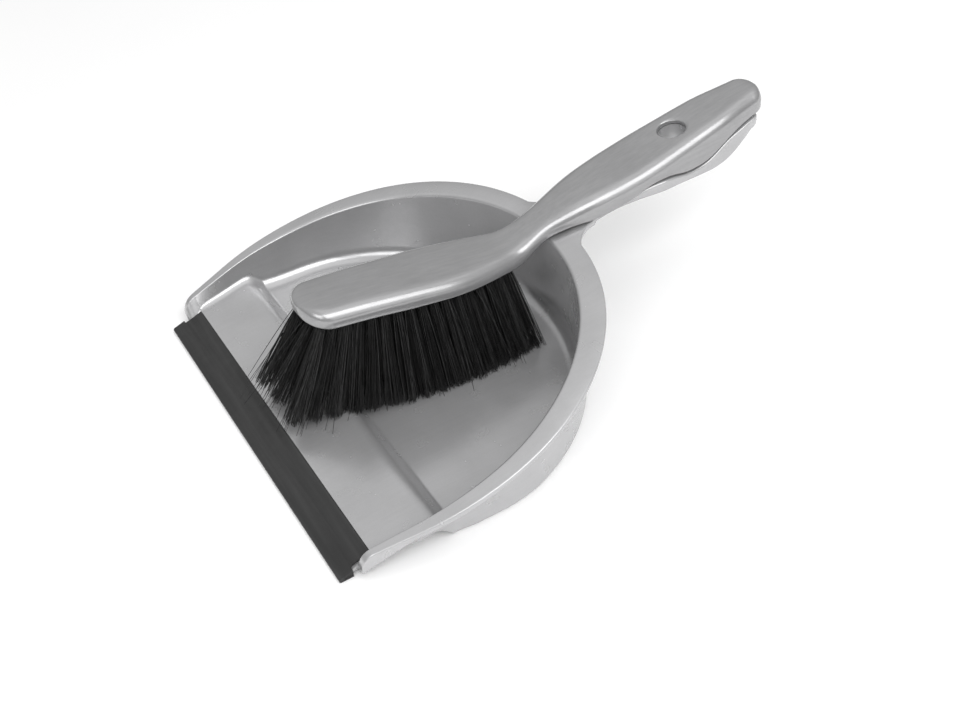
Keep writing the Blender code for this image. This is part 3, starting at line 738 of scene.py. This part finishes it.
def blade_sections(y, counts):
    """Sections of a row where the pan is only its blade: the outer points gather at the blade's end."""
    high, low = blade_top(y), blade_under(y)
    end_top, end_under = Vector((BLADE_HALF_WIDTH, y, high)), Vector((BLADE_HALF_WIDTH, y, low))
    above = [Vector((0.0, y, high))] + [end_top] * (counts[0] - 1)
    edge = [end_top] * BLADE_TOP_POINTS + [end_under] * (counts[1] - BLADE_TOP_POINTS)
    below = [end_under] * (counts[2] - 1) + [Vector((0.0, y, low))]
    return above, edge, below


def side_places():
    """Places along Y of the rows beside the panel and the tub, closest where the shape turns."""
    nose = [RIM_NOSE_Y + RIM_NOSE_RADIUS * (1.0 - cos(radians(a))) for a in range(4, 91, 7)]
    places = nose + [LIP_DEPTH + 0.25 * FIT_GAP, PANEL_FRONT_Y]    # the blade's end, the panel's front
    return places + spread(*PANEL_ROWS) + spread(*RIDGE_ROWS) + spread(*TUB_ROWS)


def back_rows():
    """Rows round the back of the rim, out along the handle's flare and across the handle."""
    centre = Vector((0.0, FAN_CENTRE_Y))
    turns = spread(0.0, 0.5 * pi, 2000)
    flare_start = next(a for a in turns if rim_back_point(a).x < flare_x(rim_back_point(a).y))
    rows = []
    for angle in spread(0.0, flare_start, BACK_ROWS):
        rim = rim_back_point(angle)
        ahead, behind = rim_back_point(angle + BACK_STEP), rim_back_point(max(angle - BACK_STEP, 0.0))
        along = (ahead - behind).normalized()
        rows.append(Row(rim, Vector((-along.y, along.x)), rim, centre))
    start = rows[-1].rim
    bearing = atan2(start.x, start.y - FAN_CENTRE_Y)
    last = FLARE_ROWS + JOIN_ROWS
    for i in range(1, FLARE_ROWS + 1):
        y = start.y + (HANDLE_JOIN_Y - start.y) * (i / FLARE_ROWS) ** FLARE_CROWDING
        edge = Vector((flare_x(y), y))
        change = flare_x(y + FLARE_STEP) - flare_x(y - FLARE_STEP)
        along = Vector((change, 2.0 * FLARE_STEP)).normalized()
        normal = Vector((-along.y, along.x)) if i < FLARE_ROWS else Vector((-1.0, 0.0))
        rows.append(Row(edge, normal, rim_back_at(bearing * (1.0 - i / last)), centre))
    reach = rows[-1].edge.x - EDGE_DEPTH
    for i in range(1, JOIN_ROWS + 1):
        edge = Vector((reach * (1.0 - i / JOIN_ROWS), HANDLE_JOIN_Y))
        rim = rim_back_at(bearing * (1.0 - (FLARE_ROWS + i) / last))
        if i == JOIN_ROWS:
            rim = rim_back_point(0.5 * pi)
        rows.append(Row(edge, Vector((0.0, -1.0)), rim, centre, at_join=True))
    return rows


def flare_x(y):
    return handle_half_width(max(y, HANDLE_FLARE_Y))


def handle_half_ring(y, half_width, top, bottom):
    """Half a section of the pan's handle: (points above, round the edge, points below)."""
    growth = smooth_step(y, HANDLE_JOIN_Y, HANDLE_FULL_Y)
    depth = min(EDGE_DEPTH, 0.6 * half_width)
    most = HEM_SHARE * depth
    hem_width = min(CHEEK_THICKNESS + (most - CHEEK_THICKNESS) * growth, most)
    radius = HEM_RADIUS + (HANDLE_UNDER_RADIUS - HEM_RADIUS) * growth
    hem = bottom - HEM_DROP * (1.0 - growth)
    edge = edge_section(depth, top, hem, bottom, hem_width, radius)
    xs = [(half_width - depth) * (1.0 - i / JOIN_ROWS) for i in range(JOIN_ROWS + 1)]
    above = [Vector((x, y, top)) for x in reversed(xs)]
    below = [Vector((x, y, bottom)) for x in xs[1:]]
    return above + [Vector((half_width - d, y, z)) for d, z in edge] + below


def end_thickness(roundness):
    """Thickness of a handle's rounded end, as a share; roundness falls from 1 to 0 along the end."""
    return END_EDGE + (1.0 - END_EDGE) * roundness**END_THINNING


def handle_half_rings():
    """Half sections of the pan's handle from the join to its rounded end."""
    end, half_width, bottom = HANDLE_STATIONS[-1]
    top = handle_top(end)
    rings = []
    for y in spread(HANDLE_JOIN_Y, end, 60)[1:]:
        under = curve_through(HANDLE_STATIONS, 2, y)
        rings.append(handle_half_ring(y, handle_half_width(y), handle_top(y), under))
    for turn in range(10, 90, 8):
        reach, roundness = sin(radians(turn)), cos(radians(turn))
        middle = 0.5 * (top + bottom) + HANDLE_END_RISE * reach
        thick = 0.5 * (top - bottom) * end_thickness(roundness)
        y = end + (HANDLE_END_Y - end) * reach
        rings.append(handle_half_ring(y, half_width * roundness**0.5, middle + thick, middle - thick))
    return rings


def pan_shell(bm):
    """The whole pan but its tongue, channel and hole: the same half twice, mirrored."""
    side_rows = []
    for y in side_places():
        rim = Vector((rim_half_width(y), y))
        side_rows.append(Row(rim, Vector((-1.0, 0.0)), rim, Vector((0.0, y))))
    sections = [row.sections() for row in side_rows + back_rows()]
    counts = [len(part) for part in sections[0]]
    blade = [blade_sections(y, counts) for y in (BLADE_FRONT, RIM_NOSE_Y - FIT_GAP)]
    sections = blade + sections
    outer = len(sections) - JOIN_ROWS
    rings = handle_half_rings()
    for side in (1, -1):
        def verts(points):
            return [bm.verts.new((side * p.x, p.y, p.z)) for p in points]

        made = [tuple(verts(part) for part in section) for section in sections]
        skin(bm, [above for above, _, _ in made], closed=False)
        skin(bm, [above[-1:] + edge for above, edge, _ in made[:outer]], closed=False)
        skin(bm, [edge[-1:] + below for _, edge, below in made], closed=False)
        bm.faces.new([v for part in made[0] for v in part])
        corner = made[outer - 1]
        joins = made[outer:]
        first = [above[-1] for above, _, _ in reversed(joins)] + corner[0][-1:] + corner[1]
        first += [edge[-1] for _, edge, _ in joins]
        made_rings = [first] + [verts(ring) for ring in rings]
        skin(bm, made_rings, closed=False)
        bm.faces.new(made_rings[-1])


def box_ring(y, half_width, top, bottom):
    """A section of the tongue or of a hollow: a box with rounded corners."""
    half = rounded([
        (0.0, bottom),
        (half_width, bottom, HANDLE_EASE, 3),
        (half_width, top, HANDLE_EASE, 3),
        (0.0, top),
    ])[1:-1]
    return [(x, y, z) for x, z in half] + [(-x, y, z) for x, z in reversed(half)]


def hollow_top(y):
    return curve_through(STOCK_STATIONS, 2, y) - SHELL


def tongue_half_width(y):
    return curve_through(STOCK_STATIONS, 1, y) - SHELL - TONGUE_GAP


def tongue(bm):
    """The raised middle of the pan's handle that fills the brush handle's hollow."""
    loft(bm, [
        box_ring(y, tongue_half_width(y), hollow_top(y) - TONGUE_GAP, handle_top(y) - TONGUE_ROOT)
        for y in spread(*TONGUE_SPAN, 40)
    ])


def handle_channel(bm):
    """What is hollowed out of the pan's handle from below."""
    wall = SHELL + TONGUE_GAP
    loft(bm, [
        box_ring(y, tongue_half_width(y) - wall, hollow_top(y) - wall, BELOW_HANDLE)
        for y in spread(*CHANNEL_SPAN, 32)
    ])


def turned(profile):
    """A round tool square to the handle at the hanging hole; a profile point is (radius, height)."""
    def build(bm):
        loft(bm, [circle(radius, height, HOLE_SIDES) for radius, height in profile])
        place = Matrix.Translation((0.0, HANG_HOLE_Y, curve_through(STOCK_STATIONS, 2, HANG_HOLE_Y)))
        bm.transform(place @ Matrix.Rotation(HANDLE_TILT, 4, "X"))
    return build


def make_pan(material):
    pan = new_piece(mesh_from("pan_moulding", pan_shell), material)
    collar_radius = HANG_HOLE_RADIUS + HANG_COLLAR_WALL
    collar = [(collar_radius, z) for z in (HANG_COLLAR_BOTTOM, -1.5 * SHELL - TONGUE_GAP)]
    hole = [(HANG_HOLE_RADIUS, z) for z in HOLE_TOOL_SPAN]
    cut_or_join(pan, [
        (mesh_from("tongue", tongue), "UNION"),
        (mesh_from("channel", handle_channel), "DIFFERENCE"),
        (mesh_from("collar", turned(collar)), "UNION"),
        (mesh_from("pan_hole", turned(hole)), "DIFFERENCE"),
    ])
    pan.data.set_sharp_from_angle(angle=SHARP_ANGLE)
    finish_piece(pan, "pan", "dustpan_body")


# ---- the rubber lip
def lip_outline():
    """The lip's section: a wedge with a slot for the blade and a ridge along its top."""
    slot_front = BLADE_FRONT - FIT_GAP
    slope = (LIP_BACK_HEIGHT - LIP_EDGE_HEIGHT) / LIP_DEPTH
    flap_rise = blade_under(LIP_UNDER_DEPTH) - FIT_GAP - LIP_UNDER_FLAP

    def over(y, lift=0.0):
        return y, LIP_EDGE_HEIGHT + slope * y + lift

    def roof(y):
        return y, blade_top(y) + FIT_GAP

    return rounded([
        (0.5 * LIP_FLAT, 0.0),
        (LIP_FLAT, 0.0),
        (LIP_UNDER_DEPTH, flap_rise, 0.0004, 3),
        (LIP_UNDER_DEPTH, flap_rise + LIP_UNDER_FLAP, 0.0003, 3),
        (LIP_FLAT, LIP_UNDER_FLAP),
        (slot_front, LIP_UNDER_FLAP),
        roof(slot_front),
        roof(LIP_SLOT_BREAK),
        (*roof(LIP_DEPTH), 0.0001, 2),
        (*over(LIP_DEPTH), 0.0005, 4),
        (*over(LIP_RIDGE_Y + LIP_RIDGE_REACH), 0.0008, 3),
        (*over(LIP_RIDGE_Y, LIP_RIDGE), 0.0006, 3),
        (*over(LIP_RIDGE_Y - LIP_RIDGE_REACH), 0.0008, 3),
        (0.0, LIP_EDGE_HEIGHT, 0.0007, 4),
        (0.0, 0.0, 0.0006, 4),
        (0.5 * LIP_FLAT, 0.0),
    ])[:-1]


def lip_strip(bm):
    """The whole strip with its end caps; the corners beside the cheeks are cut later."""
    middle = Vector((0.5 * LIP_DEPTH, 0.3 * LIP_BACK_HEIGHT))
    outline = lip_outline()
    end = [p + (middle - p).normalized() * LIP_END_DRAW for p in outline]
    eased = LIP_HALF_WIDTH - LIP_END_EASE
    sections = [(x, outline) for x in spread(-eased, eased, 30)]
    sections = [(-LIP_HALF_WIDTH, end)] + sections + [(LIP_HALF_WIDTH, end)]
    loft(bm, [[(x, p.x, p.y) for p in section] for x, section in sections])


def lip_corner(side):
    """What is cut off one end of the strip behind its step, beside the cheek."""
    def build(bm):
        inner, outer = LIP_HALF_WIDTH - LIP_END_INSET, LIP_HALF_WIDTH + CUT_MARGIN
        front, back = LIP_END_STEP, LIP_DEPTH + CUT_MARGIN
        corners = rounded([
            (outer, front),
            (outer, back),
            (inner, back),
            (inner, front, LIP_CORNER_RADIUS, 5),
            (outer, front),
        ])[:-1]
        loft(bm, [[(side * x, y, z) for x, y in corners] for z in (-CUT_MARGIN, LIP_CORNER_TOP)])
    return build


def lip_plug(side):
    """The rubber that closes the strip's slot at one end, past the blade."""
    def build(bm):
        inner, outer = BLADE_HALF_WIDTH + 0.5 * LIP_END_SINK, LIP_HALF_WIDTH - LIP_END_SINK
        front, back = BLADE_FRONT - FIT_GAP - LIP_END_SINK, LIP_FLAT - LIP_END_SINK
        low, lift = 0.5 * LIP_UNDER_FLAP, FIT_GAP + LIP_END_SINK
        outline = [(front, low), (back, low)] + [(y, blade_top(y) + lift) for y in (back, front)]
        loft(bm, [[(side * x, y, z) for y, z in outline] for x in (inner, outer)])
    return build


def make_lip(material):
    lip = new_piece(mesh_from("rubber_lip_strip", lip_strip), material)
    cut_or_join(lip, [
        (mesh_from("lip_plug_right", lip_plug(1)), "UNION"),
        (mesh_from("lip_plug_left", lip_plug(-1)), "UNION"),
        (mesh_from("lip_corner_right", lip_corner(1)), "DIFFERENCE"),
        (mesh_from("lip_corner_left", lip_corner(-1)), "DIFFERENCE"),
    ])
    weld_mesh(lip.data, LIP_WELD)
    lip.data.set_sharp_from_angle(angle=LIP_SHARP_ANGLE)
    finish_piece(lip, "pan", "rubber_lip")


# ---- the brush stock
def stock_at(y):
    """Half width, top and lower edge of the brush stock at y, the first two evened out along it."""
    reach = min(STOCK_EVENING, y - STOCK_FIRST_Y, STOCK_LAST_Y - y)
    places = spread(y - reach, y + reach, EVENING_PLACES)

    def even(column):
        return sum(curve_through(STOCK_STATIONS, column, place) for place in places) / EVENING_PLACES

    return even(1), even(2), curve_through(STOCK_STATIONS, 3, y)


def stock_ring(y, half_width, top, bottom):
    """A section of the stock: a flat underside, full shoulders and a slightly crowned top."""
    radius = min(STOCK_EDGE_RADIUS, 0.72 * (top - bottom), 0.8 * half_width)
    crown = STOCK_CROWN / half_width**2
    end_x = half_width - radius
    slope = atan(2.0 * crown * end_x)
    rise = radius * sin(0.5 * pi - slope)
    middle = top - crown * end_x**2 - rise
    half = rounded([
        (0.0, bottom),
        (half_width, bottom, min(STOCK_UNDER_EASE, 0.2 * (top - bottom)), 5),
        (half_width, middle),
    ])[1:]
    for angle in spread(0.0, 0.5 * pi - slope, 15)[1:]:
        half.append(Vector((end_x + radius * cos(angle), middle + radius * sin(angle))))
    half += [Vector((x, top - crown * x * x)) for x in spread(end_x, 0.0, 9)[1:]]
    return [(p.x, y, p.y) for p in half] + [(-p.x, y, p.y) for p in reversed(half[:-1])]


def stock_end_rings(base_y, length, turns, taper, rise):
    """Rings that round an end off, length beyond base_y; negative for the nose."""
    half_width, top, bottom = stock_at(base_y)
    middle = 0.5 * (top + bottom)
    rings = []
    for turn in turns:
        reach, roundness = sin(radians(turn)), cos(radians(turn))
        height = (top - middle) * end_thickness(roundness)
        centre = middle + rise * abs(length) * reach
        y = base_y + length * reach
        rings.append(stock_ring(y, half_width * roundness**taper, centre + height, centre - height))
    return rings


def stock_solid(bm):
    turns = [7, 14, 21, 28, 35, 42, 49, 56, 63, 69, 75, 80, 84, 87]
    nose, tip = STOCK_NOSE_Y - STOCK_FIRST_Y, STOCK_END_Y - STOCK_LAST_Y
    rings = stock_end_rings(STOCK_FIRST_Y, nose, reversed(turns), NOSE_TAPER, NOSE_RISE)
    rings += [stock_ring(y, *stock_at(y)) for y in spread(STOCK_FIRST_Y, STOCK_LAST_Y, 150)]
    loft(bm, rings + stock_end_rings(STOCK_LAST_Y, tip, turns, TIP_TAPER, TIP_RISE))


def stock_hollow(bm):
    """What is hollowed out of the brush's handle from below, to sit over the pan's tongue."""
    loft(bm, [
        box_ring(y, curve_through(STOCK_STATIONS, 1, y) - SHELL, hollow_top(y), BELOW_HANDLE)
        for y in spread(*HOLLOW_SPAN, 45)
    ])


def tuft_places():
    """(name, mouth point, direction, share along the row) of every tuft, row by row."""
    places = []
    for row, side, offset in (("right", 1, 0.0), ("middle", 0, 0.5), ("left", -1, 0.0)):
        pitch = (TUFT_LAST_Y - TUFT_FIRST_Y) / (TUFT_ROW_COUNT - 1)
        for i in range(TUFT_ROW_COUNT - int(offset > 0)):
            y = TUFT_FIRST_Y + pitch * (i + offset)
            half_width, _, bottom = stock_at(y)
            along = (y - TUFT_FIRST_Y) / (TUFT_LAST_Y - TUFT_FIRST_Y)
            splay = tan(TUFT_SPLAY_FRONT + (TUFT_SPLAY_BACK - TUFT_SPLAY_FRONT) * along)
            forward = max(1.0 - along / TUFT_UPRIGHT_FROM, 0.0) ** TUFT_LEAN_GROWTH
            forward *= 1.0 if side else TUFT_MIDDLE_LEAN
            backward = max(2.0 * along - 1.0, 0.0) ** TUFT_LEAN_GROWTH
            lean = tan(TUFT_LEAN_BACK) * backward - tan(TUFT_LEAN_FRONT) * forward
            mouth = Vector((side * (half_width - TUFT_EDGE_MARGIN), y, bottom))
            direction = Vector((side * splay, lean, -1.0)).normalized()
            places.append((f"tuft_{row}_{i + 1:02d}", mouth, direction, along))
    return places


def tuft_holes(bm):
    """The blind holes that the tufts are set in, slightly opened at their mouths."""
    wide = TUFT_HOLE_RADIUS * MOUTH_GROWTH
    profile = [(TUFT_HOLE_RADIUS, TUFT_DEPTH), (TUFT_HOLE_RADIUS, 0.0004), (wide, -0.0006), (wide, -0.0040)]
    sections = [circle(radius, height, MOUTH_SIDES) for radius, height in profile]
    for _, mouth, direction, _ in tuft_places():
        turn = direction.to_track_quat("-Z", "Y").to_matrix()
        loft(bm, [[mouth + turn @ p for p in section] for section in sections])


def make_stock(material):
    stock = new_piece(mesh_from("brush_stock_moulding", stock_solid), material)
    hole = [(HANG_HOLE_RADIUS, HOLE_TOOL_SPAN[0])]
    for turn in spread(0.0, HANG_HOLE_LIP_TURN, 8):
        out, up = 1.0 - cos(turn), sin(turn) - 1.0
        hole.append((HANG_HOLE_RADIUS + HANG_HOLE_LIP * out, HANG_HOLE_LIP * up))
    hole.append((hole[-1][0] + HOLE_FLARE[0], HOLE_FLARE[1]))
    cut_or_join(stock, [
        (mesh_from("hollow", stock_hollow), "DIFFERENCE"),
        (mesh_from("stock_hole", turned(hole)), "DIFFERENCE"),
        (mesh_from("tuft_holes", tuft_holes), "DIFFERENCE"),
    ])
    stock.data.set_sharp_from_angle(angle=SHARP_ANGLE)
    finish_piece(stock, "brush", "brush_stock")


# ---- the tufts
FILAMENTS = 124
FILAMENT_RADIUS = 0.00019
FILAMENT_SIDES = 4
FILAMENT_STEPS = 9
FILAMENT_TAPER = 0.35  # share of a filament's radius that is gone at its tip
GOLDEN_ANGLE = 2.39996  # spreads the filaments evenly over a hole
TRIM_LENGTH = 0.0530  # from a hole's mouth to the tips
ROOT_LENGTH = 0.0020  # and from the mouth in
ROOT_MARGIN = 2.2 * FILAMENT_RADIUS  # between a hole's wall and its outermost filaments
LENGTH_VARIATION = 0.012
PRESS = 0.0015  # how much longer a filament is than the room above the pan
REST_HEIGHT = 0.0006  # of the lowest tips above the pan
REST_REACH = 0.0020  # how far before and behind a tip the pan is felt
REST_SPLAY = 0.4  # sideways way of a pressed tip for each unit that it is lifted
TIP_SPREAD = 2.3  # how many times wider a tuft is at its tips than at its root
TUFT_BULGE = 0.6  # below 1, a tuft widens soonest next to its hole
TIP_WANDER = 0.0010
STRAY_WANDER = 0.0045
BOW = 0.0005
STRAY_SHARE = 0.035
FRONT_SHARE = 0.1  # of a row's length, where its front tufts stand
FRONT_STRAYS = 3.0  # how many times more strays they have
FRONT_STRAY_REACH = 0.0080  # how far forward of its tuft a front stray's tip may stand
FRONT_STRAY_BEND = 1.5
WORN_SHARES = (0.10, 0.60)  # of the filaments of a tuft that are dusty and worn
PALE_SHARE = 0.0015


def filament_path(rng, mouth, direction, side_axis, front_axis, spot, stray, along):
    """Points of one filament from inside its hole to its tip, bent where it would enter the pan."""
    clearance = (mouth.z - floor_top(mouth.y) - REST_HEIGHT) / -direction.z
    length = min(TRIM_LENGTH, clearance + PRESS) * rng.gauss(1.0, LENGTH_VARIATION)
    wander = STRAY_WANDER if stray else TIP_WANDER
    push = rng.uniform(0.0, FRONT_STRAY_REACH) if stray and along < FRONT_SHARE else 0.0
    tip = spot * TIP_SPREAD + Vector((rng.gauss(0.0, wander), rng.gauss(0.0, wander)))
    bow = Vector((rng.gauss(0.0, BOW), rng.gauss(0.0, BOW)))
    points = []
    for i in range(FILAMENT_STEPS):
        t = i / (FILAMENT_STEPS - 1)
        reach = -ROOT_LENGTH + (length + ROOT_LENGTH) * t
        flat = spot.lerp(tip, t**TUFT_BULGE) + bow * sin(pi * t)
        p = mouth + direction * reach + side_axis * flat.x + front_axis * flat.y
        p.y -= push * t**FRONT_STRAY_BEND
        ground = max(floor_top(p.y - REST_REACH), floor_top(p.y + REST_REACH)) + REST_HEIGHT
        if p.z < ground:
            p += Vector((direction.x, direction.y, 0.0)) * (REST_SPLAY * (ground - p.z))
            p.z = ground
        points.append(p)
    return points


def add_filament(bm, points, material_index):
    """Skins a thin tapered tube along the points."""
    rings = []
    for i, point in enumerate(points):
        ahead = points[min(i + 1, len(points) - 1)] - points[max(i - 1, 0)]
        turn = ahead.to_track_quat("Z", "Y").to_matrix()
        radius = FILAMENT_RADIUS * (1.0 - FILAMENT_TAPER * (i / (len(points) - 1)) ** 3)
        rings.append([point + turn @ p for p in circle(radius, 0.0, FILAMENT_SIDES)])
    first = len(bm.faces)
    loft(bm, rings)
    if material_index:
        bm.faces.ensure_lookup_table()
        for face in bm.faces[first:]:
            face.material_index = material_index


def make_tuft(name, mouth, direction, along, seed, materials):
    """One tuft; its materials are black, worn and pale, by material index."""
    rng = random.Random(seed)
    turn = direction.to_track_quat("-Z", "Y").to_matrix()
    side_axis, front_axis = turn @ Vector((1.0, 0.0, 0.0)), turn @ Vector((0.0, 1.0, 0.0))
    root = TUFT_HOLE_RADIUS - ROOT_MARGIN
    stray_share = STRAY_SHARE * (FRONT_STRAYS if along < FRONT_SHARE else 1.0)
    worn_share = rng.uniform(*WORN_SHARES)

    def build(bm):
        for k in range(FILAMENTS):
            angle, distance = k * GOLDEN_ANGLE, root * sqrt((k + 0.5) / FILAMENTS)
            spot = Vector((distance * cos(angle), distance * sin(angle)))
            stray = rng.random() < stray_share
            points = filament_path(rng, mouth, direction, side_axis, front_axis, spot, stray, along)
            draw = rng.random()
            shade = 2 if draw < PALE_SHARE else int(draw < worn_share)
            add_filament(bm, points, shade)

    tuft = new_piece(mesh_from(name + "_filaments", build, weld=0.0), *materials)
    finish_piece(tuft, "brush", name)


# ---- the studio
CAMERA_ANGLES = (64.3, 39.88, -7.08)  # azimuth, elevation and roll, in degrees
CAMERA_DISTANCE = 0.63647
CAMERA_LENS = 46.53
CAMERA_TARGET = (0.03722, 0.11924, 0.0200)
FLOOR_REACH = 30.0
FLOOR_GAP = 0.0002
HORIZON_LIGHT = 0.34
ZENITH_LIGHT = 0.80
SURROUND_SPAN = (0.20, 0.80)  # heights, as sines, between which the surround brightens
LIGHTS = [  # name, direction, distance, size, radiance
    ("key", (0.65, 0.10, 0.72), 2.2, (2.0, 1.15), 3.3),
    ("side", (0.90, 0.26, 0.36), 2.2, (1.1, 0.95), 0.9),
    ("overhead", (0.10, 0.20, 0.97), 2.4, (1.9, 1.9), 0.5),
    ("front", (0.48, -0.65, 0.57), 2.4, (1.2, 1.1), 2.6),
]


def make_floor(material):
    """The pale floor just under the object."""
    def build(bm):
        bmesh.ops.create_grid(bm, x_segments=8, y_segments=8, size=FLOOR_REACH)

    floor = new_object(mesh_from("studio_floor", build))
    floor.data.materials.append(material)
    floor.location.z = cad_box[0].z - FLOOR_GAP


def add_area_light(name, direction, distance, size, radiance):
    """A rectangular soft light aimed at the object from a direction."""
    light = bpy.data.lights.new(name, "AREA")
    light.shape = "RECTANGLE"
    light.size, light.size_y = size
    light.energy = radiance * pi * size[0] * size[1]
    lamp = new_object(light)
    way = Vector(direction).normalized()
    lamp.location = way * distance
    lamp.rotation_mode = "QUATERNION"
    lamp.rotation_quaternion = way.to_track_quat("Z", "Y")


def make_world():
    """An even studio surround, dimmer towards the horizon than overhead."""
    world = bpy.data.worlds.new("studio_world")
    world.use_nodes = True
    direction = add_node(world, "ShaderNodeTexCoord").outputs["Generated"]
    height = add_node(world, "ShaderNodeSeparateXYZ", {"Vector": direction}).outputs["Z"]
    shade = ramp(world, height, HORIZON_LIGHT, ZENITH_LIGHT, *SURROUND_SPAN)
    world.node_tree.links.new(shade, world.node_tree.nodes["Background"].inputs["Color"])
    scene.world = world


def make_camera():
    """The camera stands to the right of the lip, above the pan, rolled slightly."""
    azimuth, elevation, roll = (radians(a) for a in CAMERA_ANGLES)
    back = Vector((
        sin(azimuth) * cos(elevation),
        -cos(azimuth) * cos(elevation),
        sin(elevation),
    ))
    level = Vector((cos(azimuth), sin(azimuth), 0.0))
    upright = back.cross(level)
    right = level * cos(roll) + upright * sin(roll)
    up = upright * cos(roll) - level * sin(roll)
    data = bpy.data.cameras.new("camera")
    data.lens = CAMERA_LENS
    data.clip_start, data.clip_end = 0.01, 50.0
    camera = new_object(data)
    place = Matrix((right, up, back)).transposed().to_4x4()
    place.translation = Vector(CAMERA_TARGET) + Vector((0.0, LIP_Y, 0.0)) + back * CAMERA_DISTANCE
    camera.matrix_world = place
    bpy.context.scene.camera = camera


# ---- the scene
scene.view_settings.view_transform = "Standard"
make_world()
make_camera()
for light in LIGHTS:
    add_area_light(*light)
make_floor(floor_paint())

make_pan(silver_plastic("pan_silver", PAN_SILVER, streaks=0.10, roughness=0.25))
make_lip(lip_rubber())
make_stock(silver_plastic("stock_silver", STOCK_SILVER, streaks=0.30, roughness=0.22))
bristles = [
    bristle_filament("bristle_black", 0.004, 0.014),
    bristle_filament("bristle_worn", 0.014, 0.045),
    bristle_filament("bristle_pale", 0.20, 0.34),
]
for number, place in enumerate(tuft_places()):
    make_tuft(*place, number, bristles)
